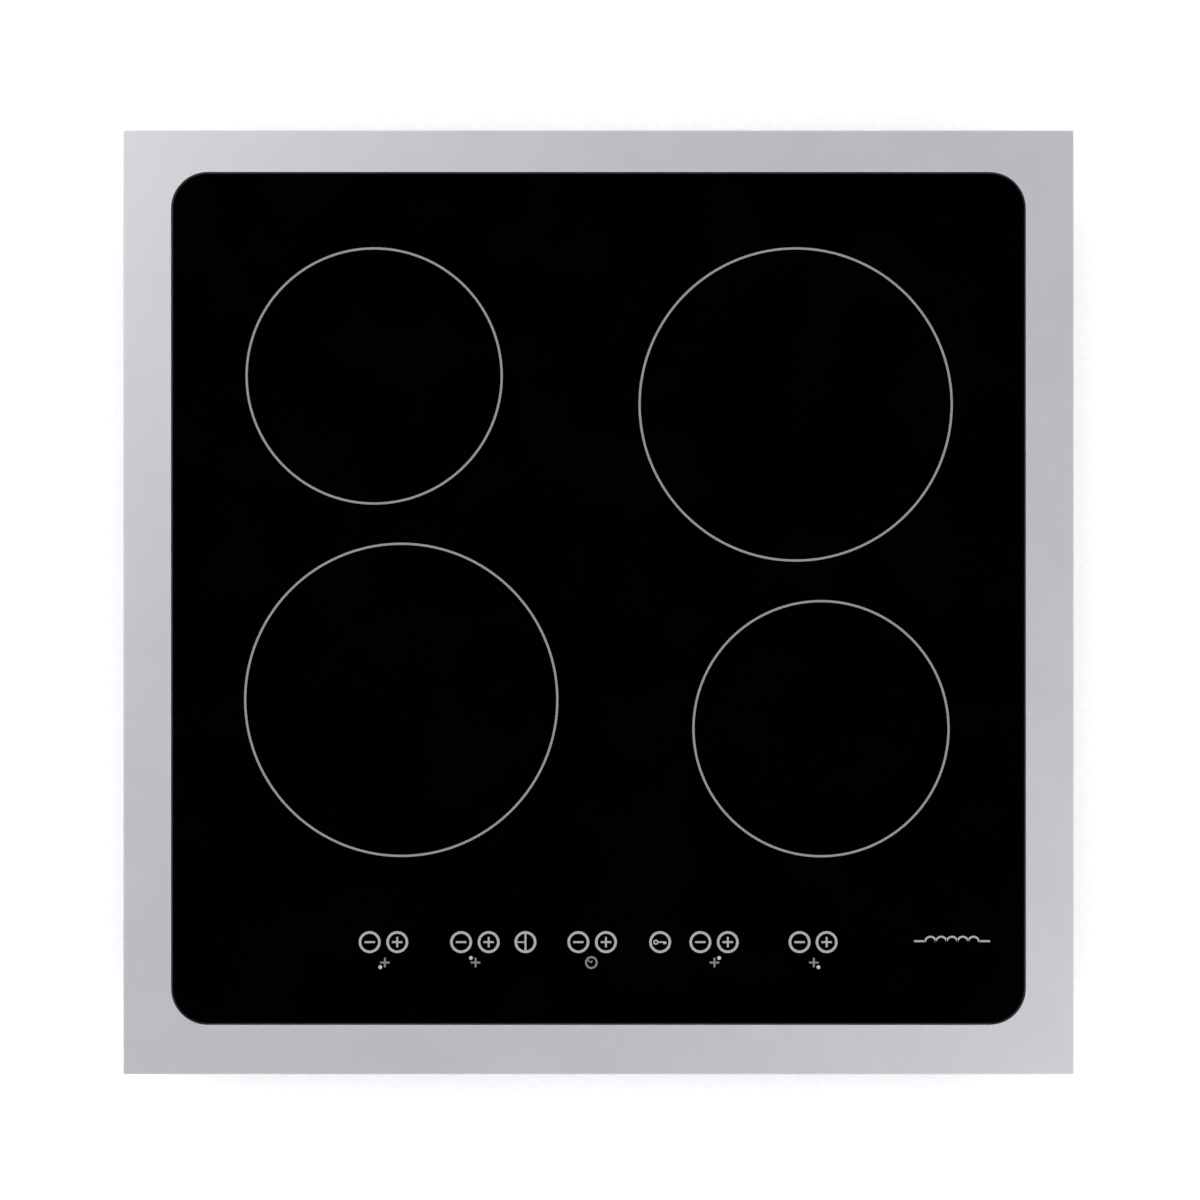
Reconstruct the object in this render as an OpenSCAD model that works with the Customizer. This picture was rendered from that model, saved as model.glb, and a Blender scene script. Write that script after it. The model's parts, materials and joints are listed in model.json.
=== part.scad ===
// Built-in electric induction cooktop: black glass in a steel trim frame, over a sheet
// steel underbox that holds four coils, the power electronics and two blowers.
// Millimetres. X points right, Y to the rear and Z up. The origin is on the plane of the
// feet, under the middle of the trim frame.

/* [Trim frame] */
// Width of the trim frame
trim_w = 600; // [598:1:602]
// Depth of the trim frame
trim_d = 596; // [594:1:598]
// Outer corner radius of the trim frame
trim_r = 1; // [1:0.5:4]
// Height of the lip that is turned down round the trim frame
lip_h = 6; // [6:0.1:6.4]
// Thickness of the trim frame's sheet
sheet = 1; // [0.9:0.1:1]
// Height of the cooktop from its feet to the glass top
total_h = 58; // [58:0.5:60]

/* [Glass] */
// Width of the glass
glass_w = 537.8; // [537:0.2:539]
// Depth of the glass
glass_d = 536.6; // [536:0.2:538]
// Corner radius of the glass
glass_r = 22.2; // [20:0.2:25]
// Thickness of the glass
glass_t = 4; // [4:0.1:4.2]
// Distance that the glass sits behind the middle of the trim frame
glass_back = 2.5; // [0:0.5:3]
// Width of the sealant joint round the glass
joint = 0.8; // [0.7:0.1:0.9]

/* [Cooking zones] */
// Radius of the two large zones, to the middle of the printed line
large_zone = 98.5; // [95:0.5:99]
// Radius of the two small zones, to the middle of the printed line
small_zone = 80.5; // [78:0.5:82]
// Middle of the rear left zone, from the middle of the glass
rear_left_at = [-141.6, 140.4]; // [-142:0.2:142]
// Middle of the rear right zone
rear_right_at = [124.4, 122.4]; // [120:0.2:126]
// Middle of the front left zone
front_left_at = [-124.5, -64]; // [-125:0.5:-60]
// Middle of the front right zone
front_right_at = [140.4, -82.2]; // [-84:0.2:142]
// Width of the printed zone line
zone_line = 1.4; // [1:0.1:2]

/* [Touch keys] */
// Radius of a touch key's printed ring, to the middle of its line
key_r = 6.1; // [5.5:0.1:6.5]
// Width of a touch key's ring line
key_line = 1.6; // [1:0.1:1.8]
// Distance from the glass middle forward to the row of keys
key_row = 216.9; // [214:0.1:218]
// Distance between a minus key and its plus key
key_pitch = 17.4; // [16:0.1:18]
// Middles of the four power key pairs, from the middle of the glass
power_keys = [-135.7, -78, 72.9, 135.5]; // [-140:0.1:140]
// Middle of the timer key pair
timer_keys = -4; // [-6:0.1:0]
// Middle of the key that adds the outer ring of a zone
dual_key = -46.1; // [-48:0.1:-44]
// Middle of the child lock key
lock_key = 38.9; // [36:0.1:41]

/* [Coils] */
// Distance from a zone's line in to the edge of its winding
coil_margin = 8.5; // [8.5:0.5:12]
// Gap between the glass and the insulation on the coils
coil_gap = 0.1; // [0.1:0.05:0.3]

/* [Clamps] */
// Length of a swing clamp from its pivot
clamp_l = 60; // [50:1:64]
// Width of a swing clamp
clamp_w = 18; // [14:1:18]
// Radius of a clamp's pivot
pivot_r = 3; // [2.5:0.25:3.5]

/* [Blowers] */
// Radius of a blower's impeller
fan_r = 40; // [36:1:40]
// Number of impeller blades
blades = 24; // [16:1:30]

/* [Hidden] */
$fn = 64;

slack = 0.1;   // radial play round screws that are not a running fit
fit = 0.05;    // radial play of a running fit
over = 1;      // how far a cutting shape runs past the face that it cuts

// Levels, from the top down
trim_under = total_h - sheet;
lip_z = total_h - lip_h;
glass_z = total_h - glass_t;
bed_t = 1;
ledge_z = glass_z - bed_t - sheet;
print_t = 0.2;
flange_z = trim_under - sheet;
insulation_top = glass_z - coil_gap;
insulation_t = 1.2;
winding_t = 3;
winding_z = insulation_top - insulation_t - winding_t;
former_t = 1.5;
former_z = winding_z - former_t;
ferrite_t = 4;
carrier_t = 1.2;
carrier_z = former_z - ferrite_t - carrier_t;
coil_spring_h = 3.8;
tray_t = 1.2;
tray_z = carrier_z - coil_spring_h - tray_t;
floor_z = 2;
floor_top = floor_z + sheet;
step_z = 10;
step_top = step_z + sheet;
board_t = 1.6;
board_z = 8;
board_top = board_z + board_t;

// Trim frame and seal
opening_w = glass_w + 2 * joint;
opening_d = glass_d + 2 * joint;
opening_r = glass_r + joint;
ledge_w = 12;
seal_w = 9;
seal_proud = 0.5;
stud_r = 1.5;
stud_h = 7;
stud_nut_r = 3.1;
stud_nut_h = 2.4;
stud_fractions = [-0.8, 0, 0.8];

// Underbox
box_gap = 1.8;
box_w = opening_w + 4 * sheet + 2 * box_gap;
box_d = opening_d + 4 * sheet + 2 * box_gap;
box_r = opening_r + joint;
flange_w = 8;
step_w = 30;
lower_w = box_w - 2 * step_w;
lower_r = 5;
box_front = glass_back - box_d / 2 + sheet;
box_rear = glass_back + box_d / 2 - sheet;
foot_r = 12;
foot_x = 205;
foot_rows = [-236, 180];
rib_h = 1.5;
rib_w = 10;
rib_l = 180;
rib_x = 110;
rib_rows = [-190, -105, -15, 60];
louvre_w = 3;
louvre_h = 20;
louvre_z = 18;
louvre_pitch = 8;
louvres = 16;
louvre_start = 30;
rear_louvre_x = -105;
side_louvres = 7;
side_rib_y = 125;
side_rib_z = 34;
side_rib_l = 130;
side_rib_w = 8;
side_rib_depth = 1;
vent_l = 26;
vent_pitch = 9;
vents = 13;
vent_y = -240;
vent_start = 40;
guard_rings = [9, 16.5, 24, 31.5];
guard_slot = 5;
guard_spoke = 4;
guard_turns = [0, 60, 120];

// Clamps
clamp_x = box_w / 2 - step_w / 2;
clamp_y = 190;
clamp_z = 6.5;
clamp_t = 2;
clamp_tip_l = 12;
clamp_tip_h = 1.1;
clamp_tip_inset = 2;
clamp_play = 0.3;
hex_key_r = 2.6;
screw_head_r = 5;
screw_head_h = 3.6;
nut_h = 3;
nut_r = 5.5;

// Terminal compartment
term_x = [158, 238];
term_y = [198, box_rear];
term_top = 30;
term_wall = 2;
cover_x = [163, 235];
cover_y = [203.2, 270.4];
cover_t = 1.8;
cover_z = 1;
cover_gap = 1;
cover_mid = (cover_x[0] + cover_x[1]) / 2;
cover_front = 198.3;
finger_r = 8;
grips = 4;
grip_pitch = 4;
grip_l = 18;
grip_depth = 0.5;
hinge_y = 200.5;
hinge_z = 2.4;
hinge_pin_r = 1.2;
knuckle_r = 2.2;
knuckle_gap = 0.4;
cover_knuckles = [180, 218];
cover_knuckle_l = 20;
ear_edges = [[163.5, 169.6], [190.4, 207.6], [228.4, 234.5]];
stop_w = 5;
stop_t = 2;
stop_z = cover_z + cover_t + 0.3;
stop_front = hinge_y + 12;
ear_root = 1.5;
ear_rise = 4;
block_at = [200, 225];
block_size = [50, 20, 14];
block_z = term_top - term_wall - block_size.z;
poles = 6;
pole_pitch = 8;
pole_screw_r = 2.4;
pole_screw_h = 2;
pole_row = 5;
pole_well = 5;
pole_rim = 0.6;
screw_slot = 0.8;
cable_at = [204, 16.8];
cable_r = 6.5;
grommet_neck = 9;
grommet_r = 11;
grommet_lip = 2;
earth_at = [145, 245];
earth_r = 2;
earth_nut_r = 3.8;
earth_nut_h = 3.2;
earth_head_r = 4.2;
earth_head_h = 0.8;
earth_stud_h = 8;

// Power electronics
power_w = 215;
power_d = 225;
power_at = [124.5, -17.5];
sink_x = [64, 110];
sink_y = [-110, 95];
sink_base = 4;
sink_top = 36.5;
sink_fins = 10;
sink_fin_t = 1.4;
transistor = [16, 21, 5];
sink_z = board_top + transistor.z;
transistor_rows = [-90, -50, -10, 30, 70];
capacitor_size = [30, 24, 24];
capacitor_rows = [-100, -60, -20, 20];
capacitor_x = 195;
bus_capacitor_size = [26, 18, 20];
bus_capacitor_rows = [-90, -40];
bus_capacitor_x = 145;
filter_x = [150, 238];
filter_y = [100, 190];
choke_at = [[172, 165], [172, 128]];
choke_r = 15;
choke_hole = 6;
choke_h = 13;
choke_round = 2;
relay_at = [[222, 170], [222, 145]];
relay_size = [18, 15, 16];
filter_capacitor_at = [[202, 170], [202, 145], [210, 118]];
filter_capacitor_size = [10, 20, 17];
standoff_r = 4;
edge = 6;
screw_r = 1.5;
pan_r = 3;
pan_h = 2;

// Blowers
blower_at = [95, 185];
blower_wall = 1.8;
blower_cavity = fan_r + 3.5;
blower_outlet = 18;
blower_top = 33.5;
blower_mouth = 50;
inlet_r = 34.5;
fan_z = 7;
fan_top = 30;
fan_disc_t = 1.2;
fan_rim = 2;
motor_low = 10;
motor_play = 0.6;
blade_t = 1;
blade_l = 8;
blade_angle = 30;
hub_r = 17;
hub_wall = 1.5;
shaft_r = 1.5;
motor_r = 14;
motor_plate_r = 20;
duct_t = 1.5;
duct_low = 3.5;
duct_y = [95, blower_at.y - blower_mouth];
duct_top = 36;

// Coils: the middle, the winding's radius and the direction of its leads
coil_list = [
    [rear_left_at, small_zone - coil_margin, 270],
    [rear_right_at, large_zone - coil_margin, 270],
    [front_left_at, large_zone - coil_margin, 0],
    [front_right_at, small_zone - coil_margin, 180]
];
coil_hole = 20;
winding_split = [0.56, 0.62];
former_rim = 1.5;
former_hole = 12;
former_hub = 3;
former_play = 2;
carrier_over = 3;
ferrites = 8;
ferrite_w = 10;
ferrite_in = 26;
coil_spring_r = 5;
coil_spring_wire = 0.5;
coil_springs_each = 3;
sensor_r = 6;
sensor_pad_r = 4;
sensor_flange = 2;
sensor_top = insulation_top - 3;
lead_r = 1.6;
lead_out = 12;
lead_spread = 6;
tray_w = 540;
tray_leg = 1.2;
tray_lip = 12;
tray_chamfer = 22;
tray_window = 0.4;
lead_hole = 3.6;
ribbon_slot = [28, 8];
coil_spring_out = 0.8;
wire_sides = 4;
tray_y = [box_front + 4, box_rear - 3];
tray_screw_rows = [-235, -90, 60, 240];

// Controls under the glass
control_y = glass_back - key_row;
control_size = [340, 60];
control_z = glass_z - 4;
carrier_wall = 2;
carrier_rim = 4;
touch_spring_r = 3.6;
touch_wire = 0.4;
display_size = [16, 12, 2];
display_back = 18;
ribbon_x = 40;
ribbon_w = 24;
ribbon_t = 0.8;
ribbon_y = -125;
ribbon_z = 45;
ribbon_back = 20;
ribbon_play = 1;
connector_size = [28, 5, 5];

// Printed symbols
bar_l = 6.6;
bar_w = 1.2;
cross_l = 6;
cross_back = 12.9;
dot_r = 1.2;
dot_off = 2.9;
clock_r = 3.4;
clock_line = 1.2;
clock_hands = [145, 60];
thin_w = 0.9;
coil_sign_at = 223.1;
coil_sign_loops = 5;
coil_sign_r = 3.4;
coil_sign_lead = 7;
coil_sign_line = 1.2;

// Wires
mains_r = 1.8;
mains_z = 20;
mains_wire_x = [185, 200, 215];
mains_drop_y = 184;
link_x = 34;
link_ys = [-114, -106];
link_z = 16;

// Rating label on the underside
label_size = [90, 50, 0.2];
label_at = [0, -60];

// A rectangle with round corners, about the origin
module rounded(w, d, r) {
    square([w - 2 * r, d], center = true);
    square([w, d - 2 * r], center = true);
    for (x = [-1, 1], y = [-1, 1]) translate([x * (w / 2 - r), y * (d / 2 - r)]) circle(r);
}

// A flat plate with round corners between two levels
module slab(w, d, r, low, high) {
    translate([0, 0, low]) linear_extrude(high - low) rounded(w, d, r);
}

// A band that runs inward from a rounded rectangle's outline
module band(w, d, r, width, low, high) {
    translate([0, 0, low]) linear_extrude(high - low) difference() {
        rounded(w, d, r);
        rounded(w - 2 * width, d - 2 * width, max(r - width, sheet / 2));
    }
}

// A plate between two corners
module block(x, y, low, high) {
    translate([x[0], y[0], low]) cube([x[1] - x[0], y[1] - y[0], high - low]);
}

// A box with a given size that stands on a level about a point
module part_box(at, size, low) {
    translate([at[0] - size[0] / 2, at[1] - size[1] / 2, low]) cube(size);
}

// A slot with round ends that runs along Y
module slot(l, w) {
    square([w, l - w], center = true);
    for (y = [-1, 1]) translate([0, y * (l - w) / 2]) circle(w / 2);
}

module tube(outer, inner, low, high) {
    translate([0, 0, low]) linear_extrude(high - low) difference() {
        circle(outer);
        circle(inner);
    }
}

module rod(r, low, high) {
    translate([0, 0, low]) cylinder(r = r, h = high - low);
}

module ring(r, line) {
    difference() {
        circle(r + line / 2);
        circle(r - line / 2);
    }
}

module at_glass() {
    translate([0, glass_back, 0]) children();
}

// Both sides of the cooktop: the given shape on the right and its mirror image on the left
module both_sides() {
    children();
    mirror([1, 0, 0]) children();
}

module one_side(side) {
    mirror([side < 0 ? 1 : 0, 0, 0]) children();
}

// Runs its children at every coil's middle
module each_coil() {
    for (coil = coil_list) translate([coil[0].x, coil[0].y + glass_back, 0]) {
        $winding = coil[1];
        $lead_way = coil[2];
        children();
    }
}

module at_coil(i) {
    translate([coil_list[i][0].x, coil_list[i][0].y + glass_back, 0]) {
        $winding = coil_list[i][1];
        children();
    }
}

// Trim frame, glass and seals

function stud_points() = [
    for (f = stud_fractions, s = [-1, 1])
        each [
            [s * (box_w + flange_w) / 2, glass_back + f * box_d / 2],
            [f * box_w / 2, glass_back + s * (box_d + flange_w) / 2]
        ]
];

module trim_frame() {
    color("lightsteelblue") {
        translate([0, 0, trim_under]) linear_extrude(sheet) difference() {
            rounded(trim_w, trim_d, trim_r);
            translate([0, glass_back]) rounded(opening_w, opening_d, opening_r);
        }
        band(trim_w, trim_d, trim_r, sheet, lip_z, trim_under);
        at_glass() {
            band(opening_w + 2 * sheet, opening_d + 2 * sheet, opening_r + sheet, sheet,
                ledge_z, trim_under);
            band(opening_w, opening_d, opening_r, ledge_w, ledge_z, ledge_z + sheet);
        }
        for (p = stud_points()) translate(p) rod(stud_r, trim_under - stud_h, trim_under);
    }
}

module key_ring(x) {
    translate([x, -key_row]) ring(key_r, key_line);
}

module bar(l, w) {
    square([l, w], center = true);
}

module key_pair(x) {
    for (s = [-1, 1]) key_ring(x + s * key_pitch / 2);
    translate([x - key_pitch / 2, -key_row]) bar(bar_l, bar_w);
    translate([x + key_pitch / 2, -key_row]) {
        bar(bar_l, bar_w);
        bar(bar_w, bar_l);
    }
}

// Cross with a dot in the corner of the zone that a key pair sets
module zone_sign(x, dot) {
    translate([x, -key_row - cross_back]) {
        bar(cross_l, bar_w);
        bar(bar_w, cross_l);
        translate(dot * dot_off) circle(dot_r);
    }
}

module dual_sign() {
    translate([dual_key, -key_row]) {
        bar(bar_w, 2 * key_r);
        translate([-key_r / 2, 0]) bar(key_r, thin_w);
    }
}

module lock_sign() {
    translate([lock_key, -key_row]) {
        translate([-2.6, 0]) ring(1.2, thin_w);
        translate([1.1, 0]) bar(5, thin_w);
        translate([2.6, -0.7]) bar(2, 1.2);
    }
}

module clock_sign() {
    translate([timer_keys, -key_row - cross_back]) {
        ring(clock_r, clock_line);
        rotate(clock_hands[0]) translate([clock_r / 2, 0]) bar(clock_r, thin_w);
        rotate(clock_hands[1]) translate([clock_r / 4, 0]) bar(clock_r / 2, thin_w);
    }
}

// Row of half loops between two leads, the sign of an induction coil
module coil_sign() {
    span = coil_sign_loops * 2 * coil_sign_r;
    translate([coil_sign_at, -key_row]) {
        for (i = [0 : coil_sign_loops - 1])
            translate([coil_sign_r * (2 * i + 1) - span / 2, 0]) intersection() {
                ring(coil_sign_r, coil_sign_line);
                translate([-2 * coil_sign_r, 0]) square([4 * coil_sign_r, 2 * coil_sign_r]);
            }
        for (s = [-1, 1]) translate([s * (span + coil_sign_lead) / 2, coil_sign_line / 2])
            bar(coil_sign_lead, coil_sign_line);
    }
}

module control_prints() {
    for (x = power_keys) key_pair(x);
    key_pair(timer_keys);
    key_ring(dual_key);
    dual_sign();
    key_ring(lock_key);
    lock_sign();
    zone_sign(power_keys[0], [-1, -1]);
    zone_sign(power_keys[1], [-1, 1]);
    zone_sign(power_keys[2], [1, 1]);
    zone_sign(power_keys[3], [1, -1]);
    clock_sign();
    coil_sign();
}

module zone_prints() {
    for (coil = coil_list) translate(coil[0]) ring(coil[1] + coil_margin, zone_line);
}

module print_layer(depth) {
    at_glass() translate([0, 0, total_h - print_t]) linear_extrude(depth) children();
}

module glass_plate() {
    color("black") difference() {
        at_glass() slab(glass_w, glass_d, glass_r, glass_z, total_h);
        print_layer(print_t + over) zone_prints();
        print_layer(print_t + over) control_prints();
    }
}

module zone_markings() {
    color("silver") print_layer(print_t) zone_prints();
}

module control_markings() {
    color("silver") print_layer(print_t) control_prints();
}

module glass_sealant() {
    color("dimgray") at_glass() {
        band(opening_w, opening_d, opening_r, joint, glass_z, total_h);
        band(opening_w, opening_d, opening_r, ledge_w - over, ledge_z + sheet, glass_z);
    }
}

module worktop_seal() {
    color("darkslategray")
        band(trim_w - 2 * sheet, trim_d - 2 * sheet, trim_r, seal_w, lip_z - seal_proud, trim_under);
}

module stud_nuts() {
    color("silver") for (p = stud_points()) translate(p) difference() {
        translate([0, 0, flange_z - stud_nut_h]) cylinder(r = stud_nut_r, h = stud_nut_h, $fn = 6);
        rod(stud_r, flange_z - stud_nut_h - over, flange_z + over);
    }
}

// Underbox

module foot_points() {
    for (x = [-foot_x, foot_x], y = foot_rows) translate([x, y, 0]) children();
}

module fan_guard() {
    for (r = guard_rings) difference() {
        ring(r, guard_slot);
        for (a = guard_turns) rotate(a) square([4 * r, guard_spoke], center = true);
    }
}

module floor_openings() {
    both_sides() translate(blower_at) fan_guard();
    for (i = [0 : vents - 1], s = [-1, 1])
        translate([s * (vent_start + i * vent_pitch), vent_y]) slot(vent_l, guard_slot);
    translate([cover_x[0] - cover_gap, cover_front - cover_gap])
        square([cover_x[1] - cover_x[0] + 2 * cover_gap, cover_y[1] - cover_front + 2 * cover_gap]);
    translate(earth_at) circle(earth_r + slack);
}

// Two groups of upright slots in a wall that runs along X
module wall_louvres(count, start) {
    for (i = [0 : count - 1], s = [-1, 1])
        translate([s * (start + i * louvre_pitch), 0, louvre_z + louvre_h / 2]) rotate([90, 0, 0])
            linear_extrude(4 * sheet, center = true) slot(louvre_h, louvre_w);
}

// Stiffening ribs pressed into the two side walls, with a given growth for their inner face
module side_ribs(grow, depth) {
    both_sides() for (s = [-1, 1])
        translate([box_w / 2 + over, s * side_rib_y + glass_back, side_rib_z]) rotate([0, -90, 0])
            linear_extrude(depth + over) slot(side_rib_l + 2 * grow, side_rib_w + 2 * grow);
}

module ribs(grow, low, high) {
    for (y = rib_rows, s = [-1, 1]) translate([s * rib_x, y, low]) linear_extrude(high - low)
        rotate(90) slot(rib_l + 2 * grow, rib_w + 2 * grow);
}

module underbox() {
    color("gainsboro") difference() {
        union() {
            at_glass() {
                slab(box_w, box_d, box_r, step_z, trim_under);
                slab(lower_w, box_d, lower_r, floor_z, step_top);
                slab(box_w + 2 * flange_w, box_d + 2 * flange_w, box_r + flange_w, flange_z, trim_under);
            }
            foot_points() rod(foot_r, 0, floor_top);
        }
        difference() {
            at_glass() {
                slab(box_w - 2 * sheet, box_d - 2 * sheet, box_r - sheet, step_top, trim_under + over);
                slab(lower_w - 2 * sheet, box_d - 2 * sheet, lower_r - sheet, floor_top, step_top + over);
            }
            ribs(sheet, floor_top - over, floor_top + rib_h);
            side_ribs(sheet, side_rib_depth + sheet);
        }
        ribs(0, floor_z - over, floor_z + rib_h);
        side_ribs(0, side_rib_depth);
        foot_points() rod(foot_r - sheet, sheet, floor_top + over);
        translate([0, 0, floor_z - over]) linear_extrude(sheet + 2 * over) floor_openings();
        translate([0, box_front, 0]) wall_louvres(louvres, louvre_start);
        translate([rear_louvre_x, box_rear, 0]) wall_louvres(louvres / 2, louvre_pitch / 2);
        both_sides() translate([box_w / 2, glass_back, 0]) rotate(90)
            wall_louvres(side_louvres, louvre_pitch / 2);
        translate([cable_at.x, box_rear, cable_at.y]) rotate([-90, 0, 0])
            rod(grommet_neck, -over, sheet + over);
        clamp_points() rod(pivot_r + slack, step_z - over, step_top + over);
        for (p = stud_points()) translate(p) rod(stud_r + slack, flange_z - over, trim_under + over);
        tray_screw_points() rod(screw_r + slack, step_z - over, step_top + over);
    }
}

module rating_label() {
    color("white") part_box(label_at, label_size, floor_z - label_size.z);
}

// Swing clamps

module clamp_points() {
    for (x = [-clamp_x, clamp_x], y = [-clamp_y, clamp_y]) translate([x, y, 0]) children();
}

module clamp(x_side, y_side) {
    color("silver") translate([x_side * clamp_x, y_side * clamp_y, 0]) difference() {
        union() {
            translate([0, -y_side * clamp_l / 2, clamp_z]) linear_extrude(clamp_t)
                slot(clamp_l + clamp_w, clamp_w);
            translate([0, -y_side * (clamp_l - clamp_tip_l / 2), clamp_z + clamp_t + clamp_tip_h / 2])
                cube([clamp_w - 2 * clamp_tip_inset, clamp_tip_l, clamp_tip_h], center = true);
        }
        rod(pivot_r + fit, clamp_z - over, clamp_z + clamp_t + over);
    }
}

module clamp_front_left() clamp(-1, -1);
module clamp_front_right() clamp(1, -1);
module clamp_rear_left() clamp(-1, 1);
module clamp_rear_right() clamp(1, 1);

module clamp_screws() {
    head_top = clamp_z - clamp_play;
    color("silver") clamp_points() difference() {
        union() {
            rod(screw_head_r, head_top - screw_head_h, head_top);
            rod(pivot_r, head_top - over, step_top + nut_h + 2);
            translate([0, 0, step_top]) cylinder(r = nut_r, h = nut_h, $fn = 6);
        }
        translate([0, 0, head_top - screw_head_h - over]) cylinder(r = hex_key_r, h = over + 2, $fn = 6);
    }
}

// Terminal compartment

module terminal_box() {
    color("dimgray") difference() {
        union() {
            difference() {
                block(term_x, term_y, floor_top, term_top);
                block([term_x[0] + term_wall, term_x[1] - term_wall],
                    [term_y[0] + term_wall, term_y[1] - term_wall], floor_top - over, term_top - term_wall);
            }
            difference() {
                block([term_x[0] + term_wall / 2, term_x[1] - term_wall / 2],
                    [stop_front, term_y[1] - term_wall / 2], stop_z, stop_z + stop_t);
                block([cover_x[0] + stop_w, cover_x[1] - stop_w],
                    [stop_front - over, cover_y[1] - stop_w], stop_z - over, stop_z + stop_t + over);
            }
            for (x = ear_edges) {
                translate([x[0], hinge_y, hinge_z]) rotate([0, 90, 0]) rod(knuckle_r, 0, x[1] - x[0]);
                block(x, [term_y[0], hinge_y + ear_root], hinge_z, floor_top + ear_rise);
            }
        }
        for (x = cover_knuckles) block(
            [x - cover_knuckle_l / 2 - knuckle_gap, x + cover_knuckle_l / 2 + knuckle_gap],
            [term_y[0] - over, hinge_y + knuckle_r], floor_top - over, hinge_z + knuckle_r + knuckle_gap);
        translate([0, hinge_y, hinge_z]) rotate([0, 90, 0]) rod(hinge_pin_r, 0, term_x[1]);
        translate([cable_at.x, 0, cable_at.y]) rotate([-90, 0, 0])
            rod(grommet_neck, term_y[1] - term_wall - over, term_y[1] + over);
        for (x = mains_wire_x) translate([x, term_y[0], mains_z]) rotate([-90, 0, 0])
            rod(mains_r + slack, -over, term_wall + over);
    }
}

module terminal_cover() {
    color("dimgray") difference() {
        union() {
            block(cover_x, cover_y, cover_z, cover_z + cover_t);
            for (x = cover_knuckles) {
                translate([x - cover_knuckle_l / 2, hinge_y, hinge_z]) rotate([0, 90, 0])
                    rod(knuckle_r, 0, cover_knuckle_l);
                block([x - cover_knuckle_l / 2, x + cover_knuckle_l / 2], [hinge_y, cover_y[0] + 1],
                    cover_z, cover_z + cover_t);
            }
        }
        translate([0, hinge_y, hinge_z]) rotate([0, 90, 0]) rod(hinge_pin_r + fit, 0, term_x[1]);
        translate([cover_mid, cover_y[1], 0]) rod(finger_r, 0, floor_top);
        for (i = [-grips : grips]) part_box([cover_mid + i * grip_pitch, cover_y[1] - 2 * grip_l],
            [grip_pitch / 2, grip_l, 2 * grip_depth], cover_z - grip_depth);
    }
}

module cover_hinge_pin() {
    color("silver") translate([ear_edges[0][0], hinge_y, hinge_z]) rotate([0, 90, 0])
        rod(hinge_pin_r, 0, ear_edges[2][1] - ear_edges[0][0]);
}

module pole_points() {
    for (i = [0 : poles - 1], y = [-pole_row, pole_row])
        translate([block_at.x + (i - (poles - 1) / 2) * pole_pitch, block_at.y + y]) children();
}

module terminal_block() {
    color("ivory") difference() {
        part_box(block_at, block_size, block_z);
        pole_points() rod(pole_screw_r + pole_rim, block_z - over, block_z + pole_well);
        for (i = [0 : poles]) part_box([block_at.x + (i - poles / 2) * pole_pitch, block_at.y],
            [sheet, block_size.y + over, 2 * sheet], block_z - sheet / 2);
    }
}

module terminal_screws() {
    head_z = block_z + pole_well - pole_screw_h;
    color("goldenrod") pole_points() difference() {
        rod(pole_screw_r, head_z, block_z + pole_well);
        part_box([0, 0], [2 * pole_screw_r + over, screw_slot, 2 * screw_slot], head_z - screw_slot);
    }
}

module cable_grommet() {
    wall = term_wall + sheet;
    color("black") translate([cable_at.x, term_y[1] - term_wall, cable_at.y]) rotate([-90, 0, 0])
        difference() {
            union() {
                rod(grommet_r, -grommet_lip, 0);
                rod(grommet_neck, 0, wall);
                rod(grommet_r, wall, wall + grommet_lip);
            }
            rod(cable_r, -grommet_lip - over, wall + grommet_lip + over);
        }
}

module earth_screw() {
    color("silver") translate(earth_at) {
        rod(earth_r, floor_z - earth_head_h, floor_top + earth_stud_h);
        translate([0, 0, floor_top]) cylinder(r = earth_nut_r, h = earth_nut_h, $fn = 6);
        rod(earth_head_r, floor_z - earth_head_h, floor_z);
    }
}

// Power electronics

module power_standoffs() {
    reach = [power_w / 2 - edge, power_d / 2 - edge];
    for (x = [-1, 1], y = [-1, 1])
        translate([power_at.x + x * reach.x, power_at.y + y * reach.y]) children();
}

module filter_standoffs() {
    for (x = filter_x + [edge, -edge], y = filter_y + [edge, -edge]) translate([x, y]) children();
}

module board_standoffs() {
    color("white") {
        both_sides() power_standoffs() tube(standoff_r, screw_r, floor_top, board_z);
        filter_standoffs() tube(standoff_r, screw_r, floor_top, board_z);
    }
}

module power_board() {
    color("darkgreen") difference() {
        part_box(power_at, [power_w, power_d, board_t], board_z);
        power_standoffs() rod(screw_r + slack, board_z - over, board_top + over);
    }
}

module power_board_left() one_side(-1) power_board();
module power_board_right() one_side(1) power_board();

module heat_sink() {
    pitch = (sink_x[1] - sink_x[0] - sink_fin_t) / (sink_fins - 1);
    color("silver") {
        block(sink_x, sink_y, sink_z, sink_z + sink_base);
        for (i = [0 : sink_fins - 1])
            block([sink_x[0] + i * pitch, sink_x[0] + i * pitch + sink_fin_t], sink_y,
                sink_z, sink_top);
    }
}

module heat_sink_left() one_side(-1) heat_sink();
module heat_sink_right() one_side(1) heat_sink();

module power_transistors() {
    color("black") both_sides() for (y = transistor_rows)
        part_box([(sink_x[0] + sink_x[1]) / 2, y], transistor, board_top);
}

module resonant_capacitors() {
    color("steelblue") both_sides() {
        for (y = capacitor_rows) part_box([capacitor_x, y], capacitor_size, board_top);
        for (y = bus_capacitor_rows) part_box([bus_capacitor_x, y], bus_capacitor_size, board_top);
    }
}

module filter_board() {
    color("darkgreen") difference() {
        block(filter_x, filter_y, board_z, board_top);
        filter_standoffs() rod(screw_r + slack, board_z - over, board_top + over);
    }
}

module filter_chokes() {
    color("darkgoldenrod") for (p = choke_at) translate([p.x, p.y, board_top + choke_h / 2])
        rotate_extrude() translate([(choke_r + choke_hole) / 2, 0])
            rounded(choke_r - choke_hole, choke_h, choke_round);
}

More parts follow.
